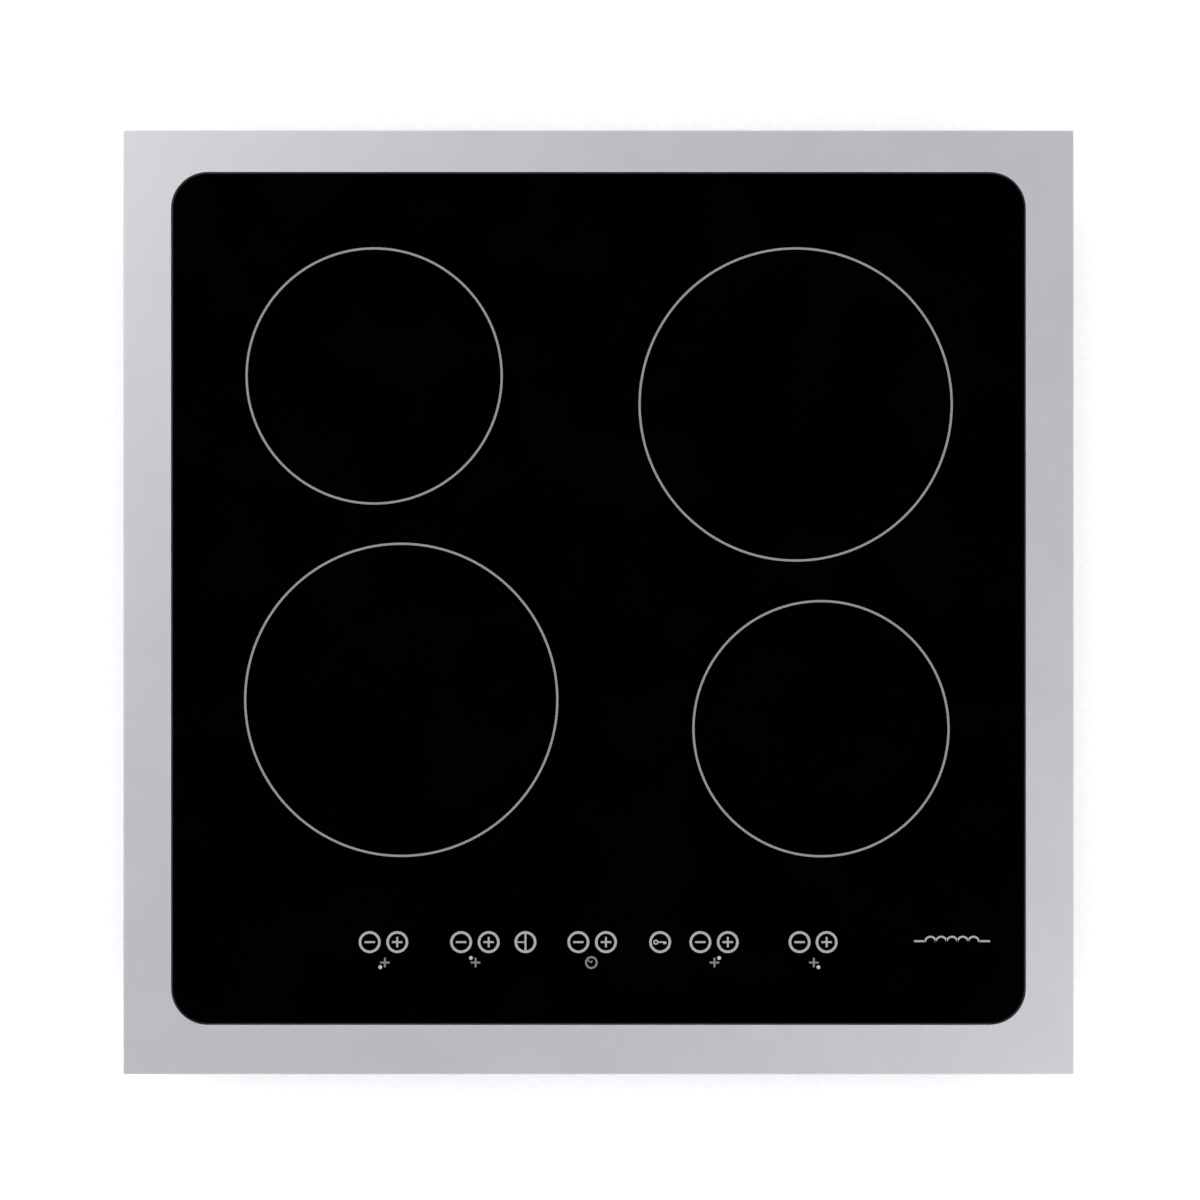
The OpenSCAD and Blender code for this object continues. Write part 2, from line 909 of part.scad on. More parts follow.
module filter_capacitors() {
    color("khaki") for (p = filter_capacitor_at) part_box(p, filter_capacitor_size, board_top);
}

module relays() {
    color("black") for (p = relay_at) part_box(p, relay_size, board_top);
}

// Blowers

// Plan of a blower's air space, a circle with a straight mouth towards the front
module blower_plan(r, mouth) {
    circle(r);
    translate([-r, -mouth]) square([r + blower_outlet + r - blower_cavity, mouth]);
}

module blower_housing() {
    cavity_low = floor_top + blower_wall;
    cavity_high = blower_top - blower_wall;
    color("dimgray") translate(blower_at) difference() {
        translate([0, 0, floor_top]) linear_extrude(blower_top - floor_top)
            blower_plan(blower_cavity + blower_wall, blower_mouth);
        translate([0, 0, cavity_low]) linear_extrude(cavity_high - cavity_low)
            blower_plan(blower_cavity, blower_mouth + over);
        rod(inlet_r, floor_top - over, cavity_low + over);
    }
}

module blower_housing_left() one_side(-1) blower_housing();
module blower_housing_right() one_side(1) blower_housing();

module blower_rotor() {
    color("black") translate(blower_at) {
        tube(hub_r, hub_r - hub_wall, fan_z, fan_top);
        rod(hub_r, fan_z, fan_z + hub_wall);
        tube(fan_r, hub_r - hub_wall, fan_top - fan_disc_t, fan_top);
        tube(fan_r, fan_r - fan_rim, fan_z, fan_z + fan_rim);
        for (i = [0 : blades - 1]) rotate(i * 360 / blades)
            translate([fan_r - blade_l, 0, fan_z + blade_t]) rotate(blade_angle)
                translate([0, -blade_t / 2, 0]) cube([blade_l, blade_t, fan_top - fan_z - fan_disc_t]);
        rod(shaft_r, fan_z + hub_wall / 2, fan_top);
    }
}

module blower_rotor_left() one_side(-1) blower_rotor();
module blower_rotor_right() one_side(1) blower_rotor();

module blower_motors() {
    color("goldenrod") both_sides() translate(blower_at) {
        tube(motor_r, shaft_r + fit, motor_low, fan_top + motor_play);
        tube(motor_plate_r, shaft_r + fit, fan_top + motor_play, blower_top - blower_wall);
    }
}

module air_ducts() {
    x = [blower_at.x - blower_cavity - blower_wall, blower_at.x + blower_outlet + blower_wall];
    color("whitesmoke") both_sides() difference() {
        block(x, duct_y, duct_low, duct_top);
        block([x[0] + duct_t, x[1] - duct_t], [duct_y[0] - over, duct_y[1] + over],
            duct_low + duct_t, duct_top - duct_t);
    }
}

// Coils

module tray_screw_points() {
    x = tray_w / 2 - tray_leg - tray_lip / 2;
    for (s = [-1, 1], y = tray_screw_rows) translate([s * x, y]) children();
}

module lead_points() {
    each_coil() rotate($lead_way) for (s = [-1, 1])
        translate([$winding + lead_out, s * lead_spread]) children();
}

module coil_tray() {
    color("silver") difference() {
        union() {
            block([-tray_w / 2, tray_w / 2], tray_y, tray_z, tray_z + tray_t);
            both_sides() {
                block([tray_w / 2 - tray_leg, tray_w / 2], tray_y, step_top, tray_z + tray_t);
                block([tray_w / 2 - tray_leg - tray_lip, tray_w / 2], tray_y, step_top, step_top + tray_t);
            }
        }
        for (x = [-1, 1], y = tray_y) translate([x * tray_w / 2, y, step_top - over])
            rotate(45) cube([tray_chamfer, tray_chamfer, 4 * total_h], center = true);
        each_coil() rod(tray_window * $winding, tray_z - over, tray_z + tray_t + over);
        translate([0, 0, tray_z - over]) linear_extrude(tray_t + 2 * over) {
            lead_points() circle(lead_hole);
            translate([ribbon_x, ribbon_y]) square(ribbon_slot, center = true);
        }
        tray_screw_points() rod(screw_r + slack, step_top - over, step_top + tray_t + over);
        clamp_points() rod(nut_r + over, step_top - over, step_top + tray_t + over);
    }
}

module coil_springs() {
    turns = floor(coil_spring_h / (2 * coil_spring_wire));
    rise = (coil_spring_h - 2 * coil_spring_wire) / turns;
    color("silver") each_coil() for (i = [0 : coil_springs_each - 1])
        rotate(90 + i * 360 / coil_springs_each) translate([coil_spring_out * $winding, 0, tray_z + tray_t])
            rotate_extrude() for (t = [0 : turns])
                translate([coil_spring_r, coil_spring_wire + t * rise])
                    circle(coil_spring_wire, $fn = wire_sides);
}

module coil_carriers() {
    color("silver") each_coil()
        tube($winding + carrier_over, former_hole, carrier_z, carrier_z + carrier_t);
}

module ferrite_bars() {
    color("dimgray") each_coil() for (i = [0 : ferrites - 1]) rotate((i + 0.5) * 360 / ferrites)
        translate([ferrite_in, -ferrite_w / 2, carrier_z + carrier_t])
            cube([$winding - ferrite_in - former_play, ferrite_w, ferrite_t]);
}

module coil_former(i) {
    color("ivory") at_coil(i) {
        rim = $winding + former_play;
        tube(rim + former_rim, former_hole, former_z, winding_z);
        tube(rim + former_rim, rim, winding_z, winding_z + winding_t);
        tube(former_hole + former_hub, former_hole, winding_z, winding_z + winding_t);
    }
}

module coil(i) {
    color("peru") at_coil(i) {
        tube(winding_split[0] * $winding, coil_hole, winding_z, winding_z + winding_t);
        tube($winding, winding_split[1] * $winding, winding_z, winding_z + winding_t);
    }
}

module coil_former_rear_left() coil_former(0);
module coil_former_rear_right() coil_former(1);
module coil_former_front_left() coil_former(2);
module coil_former_front_right() coil_former(3);
module coil_rear_left() coil(0);
module coil_rear_right() coil(1);
module coil_front_left() coil(2);
module coil_front_right() coil(3);

module insulation_discs() {
    color("whitesmoke") each_coil()
        tube($winding + carrier_over, sensor_r + 1, winding_z + winding_t, insulation_top);
}

module temperature_sensors() {
    color("white") each_coil() {
        rod(former_hole + sensor_flange, carrier_z - sheet, carrier_z);
        rod(sensor_r, carrier_z - sheet, sensor_top);
        rod(sensor_pad_r, sensor_top, glass_z);
    }
}

// Controls

function key_columns() = concat(
    [for (x = concat(power_keys, [timer_keys]), s = [-1, 1]) x + s * key_pitch / 2],
    [dual_key, lock_key]
);

module control_carrier() {
    w = control_size.x + 2 * carrier_rim;
    d = control_size.y + 2 * carrier_rim;
    wall = carrier_rim + carrier_wall;
    color("dimgray") translate([0, control_y, 0]) difference() {
        slab(w, d, carrier_rim, tray_z + tray_t, control_z);
        slab(w - 2 * wall, d - 2 * wall, carrier_rim, tray_z + tray_t + carrier_wall, control_z + over);
        block([ribbon_x - ribbon_w / 2 - ribbon_play, ribbon_x + ribbon_w / 2 + ribbon_play], [0, d],
            ribbon_z - ribbon_play, control_z + over);
    }
}

module control_board() {
    color("darkgreen") part_box([0, control_y], [control_size.x, control_size.y, board_t], control_z);
}

module displays() {
    color("black") for (x = concat(power_keys, [timer_keys]))
        part_box([x, control_y + display_back], display_size, control_z + board_t);
}

module touch_springs() {
    height = glass_z - control_z - board_t;
    turns = floor(height / (2 * touch_wire));
    rise = (height - 2 * touch_wire) / turns;
    color("silver") for (x = key_columns()) translate([x, control_y, control_z + board_t])
        rotate_extrude() for (t = [0 : turns])
            translate([touch_spring_r, touch_wire + t * rise])
                circle(touch_wire, $fn = wire_sides);
}

module ribbon_cable() {
    x = [ribbon_x - ribbon_w / 2, ribbon_x + ribbon_w / 2];
    top_y = control_y + ribbon_back;
    color("lightgray") {
        block(x, [top_y, ribbon_y + ribbon_t], ribbon_z, ribbon_z + ribbon_t);
        block(x, [ribbon_y, ribbon_y + ribbon_t], board_top + connector_size.z, ribbon_z + ribbon_t);
        block(x, [top_y, top_y + ribbon_t], ribbon_z, control_z);
        part_box([ribbon_x, ribbon_y + ribbon_t / 2], connector_size, board_top);
    }
}

// Wires

// A wire along straight runs between points, with a round bend at each
module wire(points, r) {
    for (i = [0 : len(points) - 2]) {
        run = points[i + 1] - points[i];
        translate(points[i]) rotate([0, acos(run.z / norm(run)), atan2(run.y, run.x)])
            cylinder(r = r, h = norm(run));
    }
    for (i = [1 : len(points) - 2]) translate(points[i]) sphere(r);
}

module internal_wires() {
    color("firebrick") {
        for (x = mains_wire_x) wire([
            [x, block_at.y - block_size.y / 2, mains_z],
            [x, mains_drop_y, mains_z],
            [x, mains_drop_y, board_top]
        ], mains_r);
        for (y = link_ys) wire([
            [link_x, y, board_top],
            [link_x, y, link_z],
            [-link_x, y, link_z],
            [-link_x, y, board_top]
        ], mains_r);
        each_coil() rotate($lead_way) for (s = [-1, 1]) wire([
            [$winding + former_play + former_rim, s * lead_spread, winding_z],
            [$winding + lead_out, s * lead_spread, winding_z],
            [$winding + lead_out, s * lead_spread, board_top]
        ], lead_r);
    }
}

module pan_screw(low, seat) {
    rod(screw_r, low, seat);
    rod(pan_r, seat, seat + pan_h);
}

module mounting_screws() {
    color("silver") {
        both_sides() power_standoffs() pan_screw(floor_top + over, board_top);
        filter_standoffs() pan_screw(floor_top + over, board_top);
        tray_screw_points() pan_screw(step_z - 2, step_top + tray_t);
    }
}

trim_frame();
glass_plate();
glass_sealant();
zone_markings();
control_markings();
worktop_seal();
stud_nuts();
underbox();
rating_label();
clamp_front_left();
clamp_front_right();
clamp_rear_left();
clamp_rear_right();
clamp_screws();
terminal_box();
terminal_cover();
cover_hinge_pin();
terminal_block();
terminal_screws();
cable_grommet();
earth_screw();
board_standoffs();
power_board_left();
power_board_right();
heat_sink_left();
heat_sink_right();
power_transistors();
resonant_capacitors();
filter_board();
filter_chokes();
filter_capacitors();
relays();
blower_housing_left();
blower_housing_right();
blower_rotor_left();
blower_rotor_right();
blower_motors();
air_ducts();
coil_tray();
coil_springs();
coil_carriers();
ferrite_bars();
coil_former_rear_left();
coil_former_rear_right();
coil_former_front_left();
coil_former_front_right();
coil_rear_left();
coil_rear_right();
coil_front_left();
coil_front_right();
insulation_discs();
temperature_sensors();
control_carrier();
control_board();
displays();
touch_springs();
ribbon_cable();
internal_wires();
mounting_screws();
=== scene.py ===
"""Looks of a built-in induction cooktop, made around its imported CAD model.

The frame is the CAD's own: X to the right, Y to the rear, Z up. Sizes are in millimetres and
named angles in degrees, unless a comment says otherwise. A shape is a list of points and a list
of faces. A line is a function that gives a loop of points for an inset and a level.
"""

import json
import math

import bmesh
import bpy
from mathutils import Matrix, Vector


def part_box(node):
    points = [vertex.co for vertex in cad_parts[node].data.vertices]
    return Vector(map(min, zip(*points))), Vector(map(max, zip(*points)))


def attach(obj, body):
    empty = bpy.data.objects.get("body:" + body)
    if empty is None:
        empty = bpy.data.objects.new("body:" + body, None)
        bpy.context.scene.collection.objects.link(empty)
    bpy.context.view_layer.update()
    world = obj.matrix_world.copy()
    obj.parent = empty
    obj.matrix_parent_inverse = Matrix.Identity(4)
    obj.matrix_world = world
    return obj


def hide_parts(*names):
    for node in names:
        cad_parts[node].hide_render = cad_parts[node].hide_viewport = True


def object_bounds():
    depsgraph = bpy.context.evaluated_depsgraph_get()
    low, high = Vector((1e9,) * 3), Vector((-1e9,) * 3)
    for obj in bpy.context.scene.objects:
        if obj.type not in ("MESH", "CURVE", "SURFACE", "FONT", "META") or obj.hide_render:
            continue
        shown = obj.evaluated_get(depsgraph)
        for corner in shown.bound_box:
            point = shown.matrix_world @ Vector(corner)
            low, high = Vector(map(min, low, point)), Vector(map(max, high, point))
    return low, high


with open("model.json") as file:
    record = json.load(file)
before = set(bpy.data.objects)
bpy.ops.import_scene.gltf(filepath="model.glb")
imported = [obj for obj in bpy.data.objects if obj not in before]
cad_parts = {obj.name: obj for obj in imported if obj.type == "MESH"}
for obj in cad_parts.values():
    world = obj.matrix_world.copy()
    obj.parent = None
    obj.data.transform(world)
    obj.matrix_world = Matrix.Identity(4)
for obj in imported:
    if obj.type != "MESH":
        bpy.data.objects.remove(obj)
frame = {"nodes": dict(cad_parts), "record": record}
cad_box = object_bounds()

MM = 0.001
SLOTS = {row["node"]: row["material_slot"] for row in frame["record"]["subparts"]}


# Where the CAD pieces are

def node_box(node):
    low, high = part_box(node)
    return low / MM, high / MM


def node_middle(node):
    low, high = node_box(node)
    return (low + high) / 2


TRIM_LOW, TRIM_HIGH = node_box("trim_frame")
GLASS_LOW, GLASS_HIGH = node_box("glass_plate")
BOX_LOW, BOX_HIGH = node_box("underbox")
SEAL_LOW, SEAL_HIGH = node_box("worktop_seal")
GLASS_SIZE = GLASS_HIGH - GLASS_LOW
GLASS_MID = (GLASS_LOW + GLASS_HIGH) / 2
BOX_MID = (BOX_LOW + BOX_HIGH) / 2
TOP = TRIM_HIGH.z
SHEET = 1.0

# Trim frame, joint and seal
TRIM_CORNER = 1.0
OUTER_BEND = 0.6
INNER_BEND = 0.3
BURR = 0.15
JOINT = 0.8
LEDGE_WIDTH = 12.0
LEDGE_LOW = 52.0
STUD_RADIUS = 1.5
STUD_LOW = 50.0
BEAD_DIP = 0.35
SEAL_WIDTH = 9.0
SEAL_CORNER = 1.2
SEAL_SOFT = 0.8

# Glass and printing, with places from the middle of the glass
GLASS_CORNER = 22.2
ARRIS = 0.25
PRINT_THICK = 0.08
CORNERS = ("rear_left", "rear_right", "front_left", "front_right")
ZONE_LINE = 1.4
ZONE_MARGIN = 8.5
KEY_ROW = -216.9
KEY_RADIUS = 6.1
KEY_LINE = 1.6
KEY_PAIRS = [(-144.4, -127.0), (-86.7, -69.3), (-12.7, 4.7), (64.3, 81.6), (126.9, 144.0)]
DUAL_KEY = -46.1
BAR_LONG = 6.6
BAR_WIDE = 1.2
THIN_LINE = 0.9
LOCK_KEY = 38.9
LOCK_BOW = (-2.7, 1.2)  # place from the middle of the ring, radius
LOCK_END = 3.9
LOCK_BIT = (1.9, 1.3)
SIGN_ROW = KEY_ROW - 12.9
SIGN_CROSS = 6.0
SIGN_LINE = 1.2
SIGN_DOT = 1.2
SIGN_DOT_OFF = 2.9
ZONE_SIGNS = [(-134.8, -1, -1), (-77.6, -1, 1), (73.2, 1, 1), (135.9, 1, -1)]  # place, dot's side
CLOCK_X = -4.5
CLOCK_RADIUS = 3.4
CLOCK_HANDS = [(-2.2, 1.9), (-2.6, 1.2), (0, -0.45), (0.9, 1.0), (0.2, 1.35), (-0.3, 0.5)]
COIL_SIGN_X = 223.1
COIL_LOOPS = 5
COIL_LOOP_RADIUS = 3.4
COIL_LEAD = 7.0

# Underbox; a row of openings is (how many on each side, first one's distance from the middle)
STEP = 30.0
BOX_CORNER = 23.8
LOWER_CORNER = 5.0
FLANGE = 8.0
FLOOR_LOW = 2.0
STEP_LOW = 10.0
PRESS_BEND = 2.0
FOOT_RADIUS = 12.0
FOOT_BEND = 1.0
FEET = [(x, y) for x in (-205, 205) for y in (-236, 180)]
FLOOR_RIBS = [(x, y) for x in (-110, 110) for y in (-190, -105, -15, 60)]
FLOOR_RIB = (180.0, 10.0, 1.5)
SIDE_RIB = (130.0, 8.0, 1.0)
SIDE_RIB_AT = (125.0, 34.0)
LOUVRE = (20.0, 3.0)
LOUVRE_MID = 28.0
LOUVRE_PITCH = 8.0
FRONT_LOUVRES = (16, 30.0)
REAR_LOUVRES = (8, 4.0)
REAR_LOUVRE_X = -105.0
SIDE_LOUVRES = (7, 4.0)
VENT = (26.0, 5.0)
VENTS = (13, 40.0)
VENT_PITCH = 9.0
VENT_Y = -240.0
GUARD_RINGS = (9.0, 16.5, 24.0, 31.5)
GUARD_SLOT = 5.0
GUARD_SPOKE = 3.8
GUARD_SPOKES = 6
FLARE = 0.35
OVER = 1.0  # how far a cutter runs past the face that it cuts
HOLE_PLAY = 0.1
COVER_CORNER = 0.5
COVER_PLAY = 1.0

# Swing clamps and fasteners; a nut is (radius, height)
CLAMP_WIDTH = 18.0
CLAMP_LENGTH = 60.0
CLAMP_LOW = 6.5
CLAMP_THICK = 2.0
CLAMP_TIP = (14.0, 12.0)
TIP_CORNER = 1.5
TIP_SINK = 0.5
PIVOT_RADIUS = 3.0
PIVOT_PLAY = 0.05
HEAD_GAP = 0.3
SCREW_HEAD = 5.0
HEX_KEY = 2.6
KEY_DEPTH = 2.0
CLAMP_NUT = (5.5, 3.0)
STUD_NUT = 3.1
EARTH_RADIUS = 2.0
EARTH_NUT = (3.8, 3.2)
SHANK_RADIUS = 1.5
PAN_HEIGHT = 2.0
RECESS = (3.2, 0.8)
THREAD_PITCH = 0.5

# Terminal compartment
GROMMET_NECK = 9.0
GROMMET_LIP = 2.0
CABLE_RADIUS = 6.5
COVER_LOW = 1.0
COVER_THICK = 1.8
COVER_EDGE = 2.7
HINGE = (200.5, 2.4)
KNUCKLE = (2.2, 20.0)
KNUCKLES_AT = (180.0, 218.0)
TAB = (20.0, COVER_EDGE + 1)
TAB_CORNER = 0.5
PIN_RADIUS = 1.25
NOTCH_RADIUS = 8.0
NOTCH_STEPS = 16
GRIPS = 4
GRIP = (18.0, 2.0, 0.5)
GRIP_DRAFT = 0.2
GRIP_PITCH = 4.0
GRIP_BACK = 36.0

# Inside
LITZ_PITCH = 3.1
COIL_HOLE = 20.0
WINDING_SPLIT = (0.56, 0.62)  # where the inner part ends and the outer starts, of the radius
TURN_STEPS = 64
SPRINGS = [  # piece, CAD node, radius, wire radius
    ("coil_helices", "coil_springs", 5.0, 0.5),
    ("touch_helices", "touch_springs", 3.6, 0.4),
]
CLOSED_END = 0.12
CHOKE_TURNS = 26
CHOKE_SPREAD = (20, 340)
CHOKE_WIRE = 0.55
CHOKE_BORE = 0.4
BOXES = [  # piece, CAD node, corner radius, edge radius
    ("film_capacitors", "resonant_capacitors", 2.0, 0.8),
    ("suppressor_capacitors", "filter_capacitors", 1.5, 0.8),
    ("power_relays", "relays", 0.8, 0.5),
    ("switching_transistors", "power_transistors", 0.5, 0.4),
    ("digit_displays", "displays", 0.6, 0.3),
]
SIDES = ("left", "right")
BLADES = 24
BLADE = (8.0, 1.0)
BLADE_TURN = 30.0
BLADE_BOW = 0.9
BLADE_STEPS = 6
HUB = (17.0, 1.5)
RIM = 2.0
DISC = 1.2
SHAFT_RADIUS = 1.5
AXIS = 0.01
CAD_EDGE = 0.2

# How finely curves are divided
CORNER_STEPS = 14
GLASS_STEPS = 24
SMALL_STEPS = 4
EDGE_STEPS = 3
SMOOTH_ANGLE = 32
BEVEL_ANGLE = 40
WELD = 1e-6  # metres

# Camera, lights and stage; lights and the stage are in metres
LENS = 100.0
SENSOR = 36.0
VIEW_WIDTH = 757.3
VIEW_AT = (0.95, 1.5)
CLIP_END = 50
SKY_STRENGTH = 2.35
SKY_BLUE = 1.02
SKY_BANDS = [  # height on the dome, brightness
    (0.00, 0.43), (0.12, 0.43), (0.21, 0.14), (0.46, 0.14), (0.57, 1.20),
    (0.80, 1.20), (0.93, 0.00), (1.00, 0.00)
]
SOFTBOX_SIDE = 1.2
SOFTBOX_TINT = (1.0, 1.0, 1.02)
SOFTBOXES = [  # name, place, watts
    ("rear_left_softbox", (-1.23, 0.86, 2.6), 11.0),
    ("front_right_softbox", (1.15, -0.96, 2.6), 7.8),
]
STAGE_SIDE = 14.0
STAGE_CELLS = 20
STAGE_GAP = 0.0003


def in_scene(name, data):
    thing = bpy.data.objects.new(name, data)
    bpy.context.scene.collection.objects.link(thing)
    return thing


def add_camera():
    """Camera straight above the cooktop, far enough for VIEW_WIDTH to fill the frame at the top."""
    data = bpy.data.cameras.new("camera")
    data.lens = LENS
    data.sensor_width = SENSOR
    data.clip_end = CLIP_END
    camera = in_scene("camera", data)
    camera.location = Vector((*VIEW_AT, TOP + VIEW_WIDTH * LENS / SENSOR)) * MM
    bpy.context.scene.camera = camera


add_camera()


def add_softbox(name, at, power):
    """Square area light that faces the middle of the cooktop."""
    data = bpy.data.lights.new(name, "AREA")
    data.size = SOFTBOX_SIDE
    data.energy = power
    data.color = SOFTBOX_TINT
    light = in_scene(name, data)
    light.location = at
    light.rotation_euler = (-Vector(at)).to_track_quat("-Z", "Y").to_euler()


def preset(node, values):
    """Sets plain values on a node's sockets, such as Coat_Weight=0.5."""
    for key, value in values.items():
        node.inputs[key.replace("_", " ")].default_value = value


def new_node(tree, kind, socket, source, **values):
    """Node with plain values on its sockets, and a source linked to one of them."""
    node = tree.nodes.new(f"ShaderNode{kind}")
    preset(node, values)
    tree.links.new(source, node.inputs[socket])
    return node


def add_sky():
    """Dome that is bright at the sides and dark overhead, so that the glass stays black from above."""
    world = bpy.data.worlds.new("studio")
    world.use_nodes = True
    tree = world.node_tree
    place = tree.nodes.new("ShaderNodeTexCoord")
    split = new_node(tree, "SeparateXYZ", 0, place.outputs["Generated"])
    bands = new_node(tree, "ValToRGB", 0, split.outputs["Z"])
    stops = bands.color_ramp.elements
    while len(stops) < len(SKY_BANDS):
        stops.new(1.0)
    for stop, (height, level) in zip(stops, SKY_BANDS):
        stop.position = height
        stop.color = (level, level, level * SKY_BLUE, 1)
    background = tree.nodes["Background"]
    tree.links.new(bands.outputs[0], background.inputs["Color"])
    background.inputs["Strength"].default_value = SKY_STRENGTH
    bpy.context.scene.world = world


# Loops of points

def turns(count):
    """Angles in radians, evenly round a circle."""
    return [2 * math.pi * i / count for i in range(count)]


def sweep(start, end, steps):
    return [start + (end - start) * k / steps for k in range(steps + 1)]


def arc_points(x, y, r, angles):
    return [(x + r * math.cos(a), y + r * math.sin(a)) for a in angles]


def at_level(outline, z):
    return [Vector((x, y, z)) for x, y in outline]


def circle_loop(r, z, count=48):
    return at_level(arc_points(0, 0, r, turns(count)), z)


def round_line(r, count=48):
    return lambda inset, z: circle_loop(r - inset, z, count)


def box_line(size, r, cy=0.0, steps=CORNER_STEPS, least=0.0):
    """Line of a rectangle with round corners, which keep a least radius as it is inset."""
    def line(inset, z):
        corner = max(r - inset, least)
        outline = []
        for quarter, (sx, sy) in enumerate([(1, 1), (-1, 1), (-1, -1), (1, -1)]):
            x = sx * (size[0] / 2 - inset - corner)
            y = cy + sy * (size[1] / 2 - inset - corner)
            angles = sweep(quarter * math.pi / 2, (quarter + 1) * math.pi / 2, steps)
            outline += arc_points(x, y, corner, angles)
        return at_level(outline, z)

    return line


def glass_line(steps=GLASS_STEPS):
    return box_line(GLASS_SIZE, GLASS_CORNER, GLASS_MID.y, steps)


def inset_line(line, by):
    return lambda inset, z: line(inset + by, z)


def hex_loop(r, z, cap, count=48):
    """Hexagon with its corners cut back to a circle of radius cap."""
    flat = r * math.cos(math.pi / 6)
    loop = []
    for a in turns(count):
        reach = flat / math.cos((a + math.pi / 6) % (math.pi / 3) - math.pi / 6)
        loop.append(Vector((math.cos(a), math.sin(a), 0)) * min(reach, cap) + Vector((0, 0, z)))
    return loop


def slot_loop(length, width, z, grow=0.0, steps=8):
    """Slot with round ends that runs along Y."""
    outline = []
    for end, start in ((1, 0), (-1, math.pi)):
        angles = sweep(start, start + math.pi, steps)
        outline += arc_points(0, end * (length - width) / 2, width / 2 + grow, angles)
    return at_level(outline, z)


def arc_slot_loop(r, width, start, end, z, grow, steps=6):
    """Slot with round ends that is bent round the Z axis between two angles in radians."""
    half = width / 2 + grow
    outline = []
    for side, first, last, turn in ((1, start, end, end), (-1, end, start, start + math.pi)):
        outline += arc_points(0, 0, r + side * half, sweep(first, last, steps))
        middle = (r * math.cos(last), r * math.sin(last))
        outline += arc_points(*middle, half, sweep(turn, turn + math.pi, steps)[1:-1])
    return at_level(outline, z)


QUARTER = sweep(0, math.pi / 2, EDGE_STEPS)


def bend_up(line, r, z):
    """Loops of a bend from a flat at a level up into a wall."""
    return [line(r * (1 - math.sin(t)), z + r * (1 - math.cos(t))) for t in QUARTER]


def bend_over(line, r, z):
    """Loops of a bend from a wall below into a flat at a level. The flat is outside where r < 0."""
    return [line(r * (1 - math.cos(t)), z - abs(r) * (1 - math.sin(t))) for t in QUARTER]


def rimmed(line, low, high, edge):
    """Loops of a solid between two levels, with rounded rims."""
    return bend_up(line, edge, low) + bend_over(line, edge, high)


def softened(corners, radius, steps=3):
    """Closed outline with each corner rounded off."""
    outline = []
    for i, corner in enumerate(corners):
        corner = Vector(corner)
        ends = []
        for other in (Vector(corners[i - 1]), Vector(corners[(i + 1) % len(corners)])):
            side = other - corner
            ends.append(corner + side.normalized() * min(radius, side.length * 0.45))
        for k in range(steps + 1):
            t = k / steps
            outline.append((1 - t) ** 2 * ends[0] + 2 * t * (1 - t) * corner + t * t * ends[1])
    return outline


def rectangle(left, right, low, high):
    return [(left, low), (right, low), (right, high), (left, high)]


# Shapes and meshes

def shift(x, y, z=0.0):
    return Matrix.Translation((x, y, z))


def spin(angle, axis):
    return Matrix.Rotation(math.radians(angle), 4, axis)


def loft(loops, closed=False):
    """Skin over loops that have equally many points, with its ends capped or joined."""
    count = len(loops[0])
    rings = len(loops)
    faces = []
    for i in range(rings if closed else rings - 1):
        a, b = i * count, (i + 1) % rings * count
        faces += [(a + j, a + (j + 1) % count, b + (j + 1) % count, b + j) for j in range(count)]
    if not closed:
        faces += [tuple(range(count)), tuple(range((rings - 1) * count, rings * count))]
    return [p for loop in loops for p in loop], faces


def merged(shapes):
    """Several shapes as one."""
    points, faces = [], []
    for shape_points, shape_faces in shapes:
        start = len(points)
        points += shape_points
        faces += [tuple(start + i for i in face) for face in shape_faces]
    return points, faces


def moved(shape, matrix):
    return [matrix @ Vector(p) for p in shape[0]], shape[1]


def drum(r, low, high, count=32):
    return loft([circle_loop(r, z, count) for z in (low, high)])


def turned(profile, count=48):
    """Loops about Z for a profile of radii and levels."""
    return [circle_loop(r, z, count) for r, z in profile]


def lathe(outline, count=48):
    """Solid of revolution about Z for a closed outline of radii and levels."""
    return loft(turned(outline, count), closed=True)


def swept(path, r, sides=8):
    """Round bar along a path of points."""
    loops = []
    side = None
    for i, point in enumerate(path):
        along = (path[min(i + 1, len(path) - 1)] - path[max(i - 1, 0)]).normalized()
        side = along.orthogonal() if side is None else side - along * side.dot(along)
        side.normalize()
        up = along.cross(side)
        loops.append([point + r * (math.cos(a) * side + math.sin(a) * up) for a in turns(sides)])
    return loft(loops)


def turn_outward(mesh, weld=0.0):
    """Turns a mesh's faces outward, with points welded first that are within so many metres."""
    work = bmesh.new()
    work.from_mesh(mesh)
    if weld:
        bmesh.ops.remove_doubles(work, verts=work.verts, dist=weld)
    bmesh.ops.recalc_face_normals(work, faces=work.faces)
    work.to_mesh(mesh)
    work.free()


def as_mesh(shape):
    """Mesh of a shape, with its faces turned outward. A mesh is given back as it is."""
    if isinstance(shape, bpy.types.Mesh):
        return shape
    mesh = bpy.data.meshes.new("shape")
    mesh.from_pydata([Vector(p) * MM for p in shape[0]], [], shape[1])
    turn_outward(mesh)
    return mesh


def baked(thing):
    """Mesh that an object's curve or modifiers make. The object itself is removed."""
    shown = thing.evaluated_get(bpy.context.evaluated_depsgraph_get())
    mesh = bpy.data.meshes.new_from_object(shown)
    bpy.data.objects.remove(thing)
    return mesh


